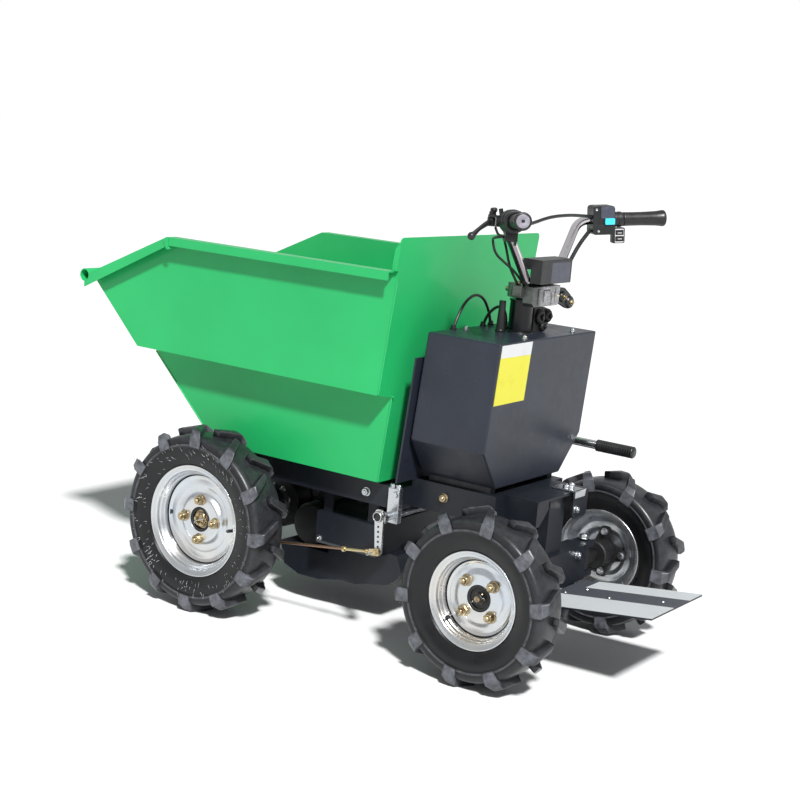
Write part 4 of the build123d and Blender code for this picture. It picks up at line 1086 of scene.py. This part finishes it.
class DUMPER_OT_controls(bpy.types.Operator):
    """Throttle housing, switches, horn, brake perch and lever"""
    bl_idname = "dumper.controls"
    bl_label = "Controls"

    def execute(self, context):
        # Pieces on the bar are drawn along its grip stretch, and moved there as they are made.
        def fixed(name, hand, shape, coats, stands_for=None, bevel=0.0):
            shape = shape.moved(bar_frame(hand))
            make(name, "steering", shape, coats, stands_for, bevel=bevel, sharp=30)

        # Right: collar, housing in two halves, its panel and its button.
        collar = turned([(107, 11.2), (107, 16.4), (108, 17.2), (111, 17.6), (112, 19), (120, 19),
                         (121, 17.8), (124, 17.8), (125, 19), (134, 19), (134, 11.2)], 56, closed=True)
        shell = prism(pad(28, 35, 8, (162, 0)), -22, 22, "x")
        parting = slab((-22.3, 133.5, -14.5), (22.3, 190.5, -12.5))
        fixed("throttle_body", -1, collar + shell + parting, "black_plastic", "throttle_housing", 2.2)
        raised = prism(pad(17.5, 14.5, 4, (153.5, 19.5)), -23.6, -20, "x")
        key = prism(pad(12.5, 7.6, 2.4, (148, -2.6)), -26.4, -20, "x")
        surround = prism(pad(15, 10, 3, (149, -2.6)), -23.2, -20, "x")
        screw = turned([(0, 0), (0, 3.4), (1.2, 3.2), (1.6, 1.8), (0.9, 1.6), (0.9, 0)], 18)
        screws = screw.at((-22, 182, 26), BACK) + screw.at((-22, 176, -26), BACK)
        fixed("throttle_panel", -1, raised + key.coated(1) + surround.coated(2) + screws.coated(3),
              "panel button black_plastic zinc", None, 0.9)
        # The rocker switch: a box under the bar, a bright bezel and two marked key caps.
        box = prism(pad(16, 19, 4, (118, -39)), -9, 9, "x")
        fixed("rocker_box", -1, box, "black_plastic", "rocker_switch", 1.6)
        keys = prism(pad(11.5, 17, 2.5, (117.5, -39)), -11.4, -8.6, "x").coated(1)
        keys += slab((-13.2, 107.5, -37.6), (-9, 127.5, -25)) + slab((-14.6, 107.5, -53), (-9, 127.5, -40.2))
        keys += slab((-13.7, 112, -33.5), (-12.4, 123, -31)).coated(1)
        keys += slab((-15.1, 112, -47.8), (-14, 123, -45.4)).coated(1)
        fixed("rocker_keys", -1, keys, "black_plastic chrome", None, 0.8)

        # Left: the horn's two drums, and the perch that reaches ahead as a fork, whose
        # two jaws hold the lever's root.
        horn = ring([(107, 11.2), (107, 23), (109, 26), (112, 27), (124, 27), (125, 26), (129, 26), (130, 27),
                     (146, 27), (149, 25.6), (150, 23), (150, 11.2)], 1.2)
        horn += ring([(85, 17.2), (85, 23), (87, 25), (104, 25), (106, 23), (106, 17.2)], 1)
        horn += prism(pad(13, 11, 3, (129, -33)), -14, 14, "x") + slab((-13, 120, -52), (-9, 138, -42))
        fixed("horn_case", 1, horn, "black_plastic brass", "horn_housing", 1.4)
        along, pivot = 169, 39
        perch = ring([(152, 11.2), (152, 14.5), (153.5, 15.5), (184.5, 15.5), (186, 14.5), (186, 11.2)],
                     0.8, 48)
        perch += prism(pad(8, 12.6, 2, (20, along)), -12.6, 12.6, "z")
        for low, high in ((7.4, 12.6), (-12.6, -10.2)):
            perch += prism(pad(17, 12.6, 4, (29, along)), low, high, "z")
        perch += fastener(11, 6, washer=7).at((pivot, along, 12.6))
        perch += fastener(9, 16).at((18, 160, 12), (0.2, 0, 1))
        stop = knob([(0, 0), (0, 5), (7, 5), (9, 8), (15, 8), (17, 6), (17, 0)], 1, 28)
        fixed("lever_perch", 1, perch + stop.at((32, 178, 12), (0.15, -0.2, 1)), "black_plastic brass",
              "brake_perch", 1.2)
        # The lever: an oval blade carried along its bend, a ball at its tip.
        middle = on_bar(1, (pivot, along, -1.5))
        tip = np.array([77.0, 352.0, 1014.0])
        way = tip - middle
        lean = unit(np.cross(way, UP))
        bends = ((-0.02, 0), (0.2, 3), (0.55, 4), (0.86, 1), (1, 0))
        path = rounded([middle + way * share + lean * aside for share, aside in bends], 60, steps=10)
        radius = 6.2 - 1.4 * np.sin(np.linspace(0, np.pi, len(path))) ** 2
        ball = turned([(9 * math.cos(a), 9 * math.sin(a)) for a in np.linspace(math.pi, 0, 15)], 28)
        root = knob([(-10, 0), (-10, 8.4), (-9, 9), (6, 9), (7, 8.4), (7, 0)], 0.8)
        make("lever_blade", "steering",
             piped(path, radius, 20, UP) + ball.at(tip, way) + root.at(on_bar(1, (pivot, along, 0))),
             "black_plastic", "brake_lever", sharp=40)
        return {"FINISHED"}


class DUMPER_OT_head(bpy.types.Operator):
    """The casting that clamps the column, the bracket on its right and their bolts"""
    bl_idname = "dumper.head"
    bl_label = "Steering head"

    def execute(self, context):
        low, high = edges("steering_head")
        foot, top = low[2], high[2]
        x = spot("steering_turn")[0]
        clamp = [(x - 38, -32), (x + 20, -32), (x + 30, -22), (x + 30, 22), (x + 20, 32), (x - 38, 32)]
        wing = [(-66, 846), (-60, foot), (52, foot), (60, 849), (60, top), (-68, top)]
        ear = [(100, 30), (130, 30), (130, 70), (124, 76), (100, 76)]
        casting = prism(clamp, 855, top, "z") + prism(wing, 76, 104, "x") + prism(ear, 863, top, "z")
        casting += slab((73.5, -50, 846), (77, -44, 884)) + slab((73, -20, 850), (77, 10, 880))
        casting += slab((73.5, 30, 846), (77, 36, 884))
        make("cast_head", "steering", casting, "alloy", "steering_head", bevel=2.6)
        bracket = plate([(-68, 880), (-92, 882), (-128, 862), (-138, 836), (-118, 828), (-68, 846)], 6,
                        78, 86, "x", steps=4)
        for y, z, r in ((-84, 860, 14), (-122, 845, 16)):
            lobe = knob([(0, 0), (0, r), (9, r), (14, r - 3), (14, 0)], 1.5)
            bracket += lobe.at((86, y, z), BACK)
            bracket += fastener(9, 4.5, washer=6.5).at((72, y, z), BACK).coated(1)
        make("switch_bracket", "steering", bracket, "black_plastic brass", "side_bracket", bevel=1.2,
             sharp=30)
        bolts = sum(fastener(12, 7, washer=8).at(place, way) for place, way in (
            ((122, 56, top), UP), ((90, 46, foot + 28), (-1, 0.1, 0)), ((168, 12, 872), AHEAD)))
        make("head_bolts", "steering", bolts, "brass", sharp=30)
        return {"FINISHED"}


def cable(route, radius, hint):
    """A round cable on the smooth line of a route."""
    return piped(hung(np.array(route, float)), radius, 16, hint)


class DUMPER_OT_cables(bpy.types.Operator):
    """The cables that are held at both ends, on their own smooth lines"""
    bl_idname = "dumper.cables"
    bl_label = "Cables"

    def execute(self, context):
        thin = context.scene.dumper_bar.cable / MM
        # The first leaves the horn's inner face, low behind the bar.
        horn = near_bar(1, 150.2, (-15.5, -13.4, -2))
        housing = near_bar(-1, 191.5, (-11, 10, 9))
        shape = sum(cable(route, radius, (0.9, 0.1, 0.42)) for radius, route in (
            (4.0, [horn, (60, 160, 1036), (68, 104, 1040), (66, 36, 1053), (62, -40, 1057), (64, -112, 1055),
                   housing]),
            (5.0, [near_bar(-1, 190.2, (-6, 5, -24)), (81, -150, 985), (80, -112, 948), (77, -88, 926),
                   (75, -72, 922)]),
            (thin, [(92, 230, 1028), (98, 205, 1010), (118, 150, 1006), (131, 110, 978), (130, 88, 930),
                    (118, 62, 889)]),
            (thin, [(55.3, 252, 1013), (84, 246, 1008), (112, 205, 1000), (112, 190, 968), (108, 150, 946),
                    (112, 96, 925), (106, 52, 889)]),
        ))
        make("bar_cables", "steering", shape, "black_plastic", "handlebar_cables")
        top = edges("control_box")[1][2]
        sleeve = knob([(0, 0), (0, 12.5), (4, 12.5), (5, 11), (60, 8), (74, 8), (74, 0)], 1)
        gland = turned([(0, 0), (0, 8), (3, 8), (4, 6.4), (10, 5.6), (11, 4), (11, 0)], 24)
        shape = sleeve.at((166, 42, top))
        for hint, route in (
            ((0.97, 0.2, 0.1), [(241, 131, top), (241, 119, 796), (241, 90, 834), (241, 48, 851),
                                (241, 6, 840), (241, -25, 804), (241, -37, top)]),
            (LEFT, [(240, 0, top), (232, 0, 796), (214, 0, 818), (195, 0, 826), (179, 0, 812),
                    (174, 0, top)]),
        ):
            shape += cable(route, 3.5, hint) + gland.at(route[0]) + gland.at(route[-1])
        make("box_top_cables", "chassis", shape, "black_plastic", "box_cables")
        return {"FINISHED"}


# ---------------- brake
CROSS_SHAFT = (314.0, 317.0)
LEVER_Y, LEVER_Z = -256.0, 482.5
ARM_Y = 262.0


class DUMPER_OT_brake(bpy.types.Operator):
    """The parking brake: hand lever, cross shaft, arm, brackets and pull rod"""
    bl_idname = "dumper.brake"
    bl_label = "Parking brake"

    def execute(self, context):
        x, z = CROSS_SHAFT
        shape = piped([(x, LEVER_Y, z), (x, ARM_Y + 8, z)], 10, 40, UP)
        lever = rounded([(x, LEVER_Y, z), (205, LEVER_Y, LEVER_Z), (31, LEVER_Y, LEVER_Z)], 28, steps=14)
        collar = turned([(0, 10), (0, 16), (12, 16), (12, 10)], 40, closed=True)
        shape += piped(lever, 11, 32, LEFT) + collar.put((x, ARM_Y - 12, z))
        # The arm tapers down from its boss. Its edge is an outline, and its holes are dark caps of painted
        # shade.
        arm = [(x - 13, 330), (x - 8, 340), (x + 8, 340), (x + 13, 330), (x + 4, 232), (x - 14, 232)]
        hub = ring([(0, 10), (0, 13.5), (6, 13.5), (9, 12), (9, 10)], 0.6, 40)
        shape += plate(arm, [5, 8, 8, 5, 6, 6], ARM_Y, ARM_Y + 6) + hub.put((x, ARM_Y + 5, z + 6))
        # Painted shade: a dark cap in the hub's bore and one in each hole.
        bore = turned([(0, 0), (0, 9.6), (0.6, 9.4), (0.6, 0)], 30)
        shaded_hole = turned([(0, 0), (0, 3.0), (0.35, 2.8), (0.35, 0)], 20)
        shape += bore.put((x, ARM_Y + 9, z + 6)).coated(1)
        for height in (298, 286, 274, 262, 250):
            shape += shaded_hole.put((x - (z - height) / 15 + 0.5, ARM_Y + 6, height)).coated(1)
        make("brake_lever_shaft", "chassis", shape, "zinc black_plastic", "brake_shaft", bevel=0.7,
             segments=2, sharp=32)

        # Each bracket stands on a side rail, on two bolts with a third through its side.
        outer = edges("side_rails")[1][1]
        brackets = sum(slab((x - 22, outer * hand, 300), (x + 11, (outer + 17) * hand, 386))
                       for hand in (1, -1))
        make("brake_brackets", "chassis", brackets, "zinc", "shaft_brackets", bevel=2.2)
        head = fastener(13, 7, washer=9)
        bolts = sum(head.at((x - 14, (outer + 9) * hand, 386)) + head.at((x + 2, (outer + 9) * hand, 386))
                    + head.at((x - 14, (outer + 17) * hand, 372), (0, hand, 0)) for hand in (1, -1))
        make("bracket_bolts", "chassis", bolts, "zinc", sharp=30)

        a = np.array([x - 5, ARM_Y + 10, 238])
        b = np.array([spot("front_left_spin")[0] - 35, ARM_Y + 10, 177])
        way = unit(b - a)
        rod = piped([a, a + way * 95], 3.9, 18, LEFT) + piped([a + way * 6, b], 3.4, 18, LEFT).coated(1)
        rod += fastener(13, 8).at(a + way * 92, way) + fastener(11, 5).at(a + way * 26, way)
        fork = plate([(-9, -9), (20, -7), (20, 7), (-9, 9)], 5, -4.5, 5.5)
        rod += fork.put(a, degrees=math.degrees(math.atan2(-way[2], way[0])))
        rod += fastener(10, 4, washer=7).put(a + (0, 5, 0))
        cotter = [(0, 9.5, 0), (6, 10, -3), (12, 10.5, -2), (17, 10, -9), (22, 10, -10)]
        rod += piped(hung(a + np.array(cotter)), 1.2, 8, LEFT).coated(2)
        make("pull_rod", "chassis", rod, "zinc_yellow copper zinc", "brake_rod", sharp=32)

        # The hand grip has rings along it, its radius swelling by cos, and fine ribs round it.
        along = np.linspace(0, 1, 61)
        rings = np.stack([2 + 98 * along, 14.6 + 0.5 * np.cos(along * 2 * np.pi * 15)], 1)
        line = [(0, 0), (0, 11.4), (1, 14.2), *rings, (101, 15), (103.5, 13), (103.5, 0)]
        grip = ribbed(turned(line, 48), 18, 0.34, 3, 99)
        make("brake_hand_grip", "chassis", grip.at((30, LEVER_Y, LEVER_Z), BACK), "grip_rubber",
             "hand_lever_grip", sharp=60)
        return {"FINISHED"}


# ---------------- skip
def bead(start, end, radius):
    """A weld bead: a rope of overlapping dimples, its radius swelling by cos along the seam."""
    start, end = np.array(start, float), np.array(end, float)
    run = np.linalg.norm(end - start)
    step, pitch = 1.6, 6
    t = np.linspace(0, 1, int(run / step))
    path = start + (end - start) * t[:, None]
    return piped(path, radius * (1 + 0.18 * np.cos(t * run * 2 * np.pi / pitch)), 8, (0.3, 0.2, 0.93))


def open_tube(node, wall, cut, sides, steps):
    """A level tube in a node's place, with its bore and rounded rims."""
    low, high = edges(node)
    end, radius = high[1], (high[2] - low[2]) / 2
    line = rounded([(-end, radius), (end, radius), (end, radius - wall), (-end, radius - wall)], cut,
                   closed=True, steps=steps)
    middle = (low + high) / 2
    return turned(line, sides, closed=True), middle[0], middle[2]


class DUMPER_OT_skip(bpy.types.Operator):
    """The skip's lip tube, the laps at its flanges' bends, its welds and hinge pin"""
    bl_idname = "dumper.skip"
    bl_label = "Skip"

    def execute(self, context):
        tube, lip_x, lip_z = open_tube("lip_tube", 3, 0.9, 72, 4)
        make("front_lip", "skip", tube.put((lip_x, 0, lip_z)), "skip_paint", "lip_tube", sharp=40)

        # Where the level flange meets the sloped one, a lap of sheet covers the bend.
        rim_z, bend_x, depth = 908.0, 974.0, 21.0
        outer = edges("rim_flanges")[1][1]
        slope = math.atan2(rim_z - lip_z, lip_x - bend_x)
        down = np.array([-math.sin(slope), -math.cos(slope)])
        ahead = np.array([math.cos(slope), -math.sin(slope)])
        knee = np.array([bend_x, rim_z])
        outline = [knee - (6, 0), knee + ahead * 14, knee + ahead * 12 + down * 30,
                   knee + down * 33 - ahead * 6, knee + (-8, -depth - 2)]
        lap = plate(outline, [2, 3, 7, 6, 3], outer, outer + 2.2)
        laps = lap + lap.put((0, 0, 0), -1)
        make("flange_laps", "skip", laps, "skip_paint", bevel=0.8, segments=2)

        floor, lower, upper = 396.0, 243.0, 303.0
        seams = sum(bead((x0, y * hand, z0), (x1, y * hand, z1), radius) for hand in (1, -1)
                    for y, x0, z0, x1, z1, radius in (
                        (lower, 342.5, floor + 4, 322.5, 602, 2.2), (upper, 320, 618, 293, 884, 2.0),
                        (lower, 316, 606.5, 1060, 606.5, 1.8), (lower, 858, floor + 4, 1070, 600, 2.2)))
        make("skip_welds", "skip", seams, "skip_paint", sharp=60)

        x, y, z = spot("skip_tip")
        tube = open_tube("hinge_tube", 4, 0.8, 56, 3)[0]
        make("tipping_tube", "chassis", tube.put((x, 0, z)), "frame_paint", "hinge_tube", sharp=40)
        return {"FINISHED"}


# ---------------- box
LID = 771
# The leaning rear face of the box: heights, and x at each.
FACE_Z, FACE_X = (420, 514, LID), (73.7, 67.5, 50.5)


class DUMPER_OT_box(bpy.types.Operator):
    """The folded control box with rounded edges, and the round column through it"""
    bl_idname = "dumper.box"
    bl_label = "Control box"

    def execute(self, context):
        s = context.scene.dumper_fitting
        low, high = edges("control_box")
        z, rear, front, wide = np.array([
            # z, rear x, front x, half width
            (low[2], FACE_X[0], 279.5, 150), (FACE_Z[1], FACE_X[1], 271, high[1]),
            (high[2], low[0], 247.6, high[1]),
        ]).T
        corners = ((rear, -wide), (front, -wide), (front, wide), (rear, wide))
        points = np.stack([np.stack([x, y, z], -1) for x, y in corners], 1)
        make("folded_box", "chassis", woven(points, round_v=True, caps=True), "box_paint", "control_box",
             bevel=s.rounding / MM, segments=4)
        # The column's sleeve, with a weld seam round its foot.
        x = spot("steering_turn")[0]
        line = [(390, 16.2), (390, 28), (846, 28), (847, 30), (850, 30), (850, 16.2)]
        foot = turned([(0, 28), (0, 33), (3, 32), (5, 28)], closed=True)
        column = turned(line, closed=True).at((x, 0, 0)) + foot.at((x, 0, LID))
        # A cast web stands at the sleeve's right side, with bolted bosses.
        web = plate([(-24, LID), (-24, 832), (-64, 832), (-106, 822), (-108, 800), (-72, LID)],
                    [0.5, 3, 8, 8, 12, 4], x - 22, x + 2, "x", steps=4)
        boss = knob([(0, 0), (0, 15), (7, 15), (10, 11), (10, 7), (7, 7), (7, 0)], 1.2)
        for y, z, size in ((-88, 808, 1.0), (-50, 808, 1.25), (-66, 784, 0.8)):
            web += boss.moved(np.diag([size, 1, size, 1.0])).at((x - 21, y, z), BACK)
            web += fastener(9 * size, 6, washer=6 * size).at((x - 28, y, z), BACK)
        make("round_column", "chassis", column + web.coated(1), "column_black black_iron", "column_sleeve",
             bevel=0.8, segments=2, sharp=30)
        return {"FINISHED"}


class DUMPER_OT_label(bpy.types.Operator):
    """A blank label with a pale head on the control box's rear face"""
    bl_idname = "dumper.label"
    bl_label = "Blank label"

    def execute(self, context):
        def on_face(y, z, lift):
            return np.interp(z, FACE_Z, FACE_X) - lift, y, z

        ground = lifted([(220, 767), (85, 768), (85, 628), (220, 627)], (0.05, 0.45), on_face)
        head = lifted([(220, 767), (85, 768), (85, 737), (220, 738)], (0.3, 0.6), on_face)
        make("blank_label", "chassis", ground + head.coated(1), "label label_head",
             sharp=30)
        return {"FINISHED"}


# ---------------- fittings
class DUMPER_OT_fittings(bpy.types.Operator):
    """Bolts, nuts and small fittings on the frame, the box and the axles"""
    bl_idname = "dumper.fittings"
    bl_label = "Bolts and fittings"

    def execute(self, context):
        s = context.scene.dumper_fitting
        big, small = s.bolt / MM, s.small_bolt / MM
        rows = (
            # place, direction, across flats, height, washer, finish: 0 zinc, 1 brass
            ((-4, -50, 409), UP, 14, 7, 9, 0), ((-4, -76, 409), UP, 14, 7, 9, 0),
            ((-31, -56, 362), BACK, 14, 7, 9, 0),
            ((226, 98, LID), UP, small, 5, 8, 0), ((222, -96, LID), UP, small, 5, 8, 0),
            ((72, 88, LID), UP, small, 5, 8, 0), ((76, -150, LID), UP, small, 5, 8, 0),
        )
        pairs = (
            # the same for the left one of each pair
            ((206, 159, 374), LEFT, 17, 8, 11, 1), ((-28, 96, 240), BACK, big, 8, 10, 0),
            ((0, 178, 262), UP, 20, 8, 13, 0), ((388, 185, 205), LEFT, small, 5, 8, 0),
            ((544, 185, 205), LEFT, small, 5, 8, 0), ((398, 205, 357), LEFT, big, 8, 11, 0),
            ((8, 89, 156.5), DOWN, big, 8, 10, 0),
        )
        right = [((x, -y, z), (way[0], -way[1], way[2]), *rest) for (x, y, z), way, *rest in pairs]
        bolts = sum(fastener(across, height, washer, across * 0.26, 2.4).at(place, way).coated(coat)
                    for place, way, across, height, washer, coat in (*rows, *pairs, *right))
        make("frame_bolts", "chassis", bolts, "zinc brass", sharp=30)
        # A ledge along the rear cover's edge, and the zinc strap that holds the latch.
        ledge = prism([(-25.6, 404.6), (-14, 405.6), (-14, 404.8), (-25.6, 399)], 66, 118)
        make("cover_ledge", "chassis", ledge, "frame_paint", bevel=0.4, segments=2)
        latch = plate([(-116, 338), (-44, 338), (-44, 405), (-116, 405)], [18, 18, 3, 3], -31, -25, "x")
        strap = slab((-37, -88, 405), (30, -38, 409)) + slab((-37, -88, 391), (-31, -38, 409))
        make("latch_strap", "chassis", latch.coated(1) + strap, "zinc frame_paint", "rear_latch", bevel=1.4)
        return {"FINISHED"}


class DUMPER_OT_footplate(bpy.types.Operator):
    """Ribbed strips and rivets over the tilted footplate"""
    bl_idname = "dumper.footplate"
    bl_label = "Footplate covering"

    def execute(self, context):
        low, high = edges("footplate")
        slope = (high[2] - low[2] - 4) / (low[0] - high[0])

        def on_plate(x, y, lift):
            return x, y, high[2] + (x - low[0]) * slope + lift

        def strip(x0, x1, y0, y1, lift):
            return lifted([(x0, y0), (x1, y0), (x1, y1), (x0, y1)], (0.05, lift), on_plate)

        rear, front, right, left = low[0] + 0.4, high[0] - 1, low[1] + 0.4, high[1] - 0.4
        seam_left, seam_right, seam_front = 20, -63, -78
        pale = strip(rear, front, seam_left, left, 0.9) + strip(rear, seam_front, right, seam_right, 0.9)
        dark = strip(rear, front, seam_right, seam_left, 0.6)
        dark += strip(seam_front, front, right, seam_right, 0.6)
        rivet = knob([(0, 0), (0, 5), (2.2, 3.6), (2.6, 0)], 0.8, 24)
        rivets = sum(rivet.at(on_plate(x, y, 0.5)) for x, y in ((-90, -47), (-175, 5), (-300, -20), (-60, 5)))
        make("step_covering", "chassis", pale + dark.coated(1) + rivets.coated(2), "step_pale step_dark zinc",
             sharp=30)
        return {"FINISHED"}


# ---------------- stage
class DUMPER_OT_stage(bpy.types.Operator):
    """Floor, lights and the camera"""
    bl_idname = "dumper.stage"
    bl_label = "Stage"

    def execute(self, context):
        s = context.scene.dumper_stage
        add = context.scene.collection.objects.link
        a, e = s.azimuth, s.elevation
        back = Vector((math.sin(a) * math.cos(e), -math.cos(a) * math.cos(e), math.sin(e)))
        side = Vector((math.cos(a), math.sin(a), 0.0))
        top = back.cross(side)
        right = math.cos(s.roll) * side + math.sin(s.roll) * top
        up = -math.sin(s.roll) * side + math.cos(s.roll) * top
        camera = bpy.data.cameras.new("camera")
        camera.lens = s.lens
        camera.sensor_width = 36.0
        camera.clip_end = 200.0
        eye = bpy.data.objects.new("camera", camera)
        eye.matrix_world = Matrix((right, up, back)).transposed().to_4x4()
        eye.location = s.eye
        add(eye)
        context.scene.camera = eye
        context.scene.view_settings.view_transform = "Standard"
        mesh = bpy.data.meshes.new("floor")
        mesh.from_pydata([(-30, -30, 0), (30, -30, 0), (30, 30, 0), (-30, 30, 0)], [], [(0, 1, 2, 3)])
        floor = bpy.data.objects.new("floor", mesh)
        add(floor)
        f = Finish("floor", Roughness=0.9)
        mesh.materials.append(f.dress(f.mix((0.79, 0.79, 0.79), (0.83, 0.83, 0.83), f.noise(0.8))))
        # A far lamp high over the left rear, and a near soft one for the gloss.
        for name, kind, place, width, size, power in (
            ("key", "SUN", (-6.5, 6.2, 10.0), "angle", s.softness, s.key),
            ("gloss", "AREA", (-2.6, 2.6, 3.4), "size", 2.4, s.gloss),
        ):
            light = bpy.data.lights.new(name, kind)
            setattr(light, width, size)
            light.energy = power
            lamp = bpy.data.objects.new(name, light)
            lamp.location = place
            lamp.rotation_euler = (Vector((0, 0, 0.4)) - Vector(place)).to_track_quat("-Z", "Y").to_euler()
            add(lamp)
        # The backdrop is plain white, however dim the sky light is, and gloss sees a part of it.
        world = bpy.data.worlds.new("world")
        world.use_nodes = True
        world.node_tree.nodes.clear()
        n = Nodes(world.node_tree)
        sky = n.node("ShaderNodeBackground", {}, {"Color": (0.94, 0.97, 1.0, 1), "Strength": s.sky})
        backdrop = n.node("ShaderNodeBackground", {}, {"Color": (1, 1, 1, 1)})
        seen = n.node("ShaderNodeLightPath", output="Is Camera Ray")
        mirrored = n.node("ShaderNodeLightPath", output="Is Glossy Ray")
        both = n.node("ShaderNodeMixShader", {}, {0: mirrored * 0.45 + seen, 1: sky, 2: backdrop})
        n.node("ShaderNodeOutputWorld", {}, {"Surface": both})
        context.scene.world = world
        return {"FINISHED"}


# ---------------- add-on
STEPS = (DUMPER_OT_finishes, DUMPER_OT_tyres, DUMPER_OT_rims, DUMPER_OT_hubs, DUMPER_OT_axles,
         DUMPER_OT_handlebar, DUMPER_OT_controls, DUMPER_OT_head, DUMPER_OT_cables, DUMPER_OT_brake,
         DUMPER_OT_skip, DUMPER_OT_box, DUMPER_OT_label, DUMPER_OT_fittings, DUMPER_OT_footplate,
         DUMPER_OT_stage)
GROUPS = {
    "dumper_finish": DUMPER_finish_settings,
    "dumper_wheel": DUMPER_wheel_settings,
    "dumper_bar": DUMPER_bar_settings,
    "dumper_fitting": DUMPER_fitting_settings,
    "dumper_stage": DUMPER_stage_settings,
}


class DUMPER_PT_looks(bpy.types.Panel):
    """Every step of the dumper's looks, with its sizes and colours"""
    bl_idname = "DUMPER_PT_looks"
    bl_label = "Dumper"
    bl_space_type = "VIEW_3D"
    bl_region_type = "UI"
    bl_category = "Dumper"

    def draw(self, context):
        for name, group in GROUPS.items():
            box = self.layout.box()
            box.label(text=name.removeprefix("dumper_").capitalize())
            for key in group.__annotations__:
                box.prop(getattr(context.scene, name), key)
        for step in STEPS:
            self.layout.operator(step.bl_idname)


def register():
    for kind in (*GROUPS.values(), *STEPS, DUMPER_PT_looks):
        bpy.utils.register_class(kind)
    for name, group in GROUPS.items():
        setattr(bpy.types.Scene, name, PointerProperty(type=group))


def unregister():
    for name in GROUPS:
        delattr(bpy.types.Scene, name)
    for kind in reversed((*GROUPS.values(), *STEPS, DUMPER_PT_looks)):
        bpy.utils.unregister_class(kind)


def main():
    register()
    for step in STEPS:
        group, name = step.bl_idname.split(".")
        getattr(getattr(bpy.ops, group), name)()


if __name__ == "__main__":
    main()
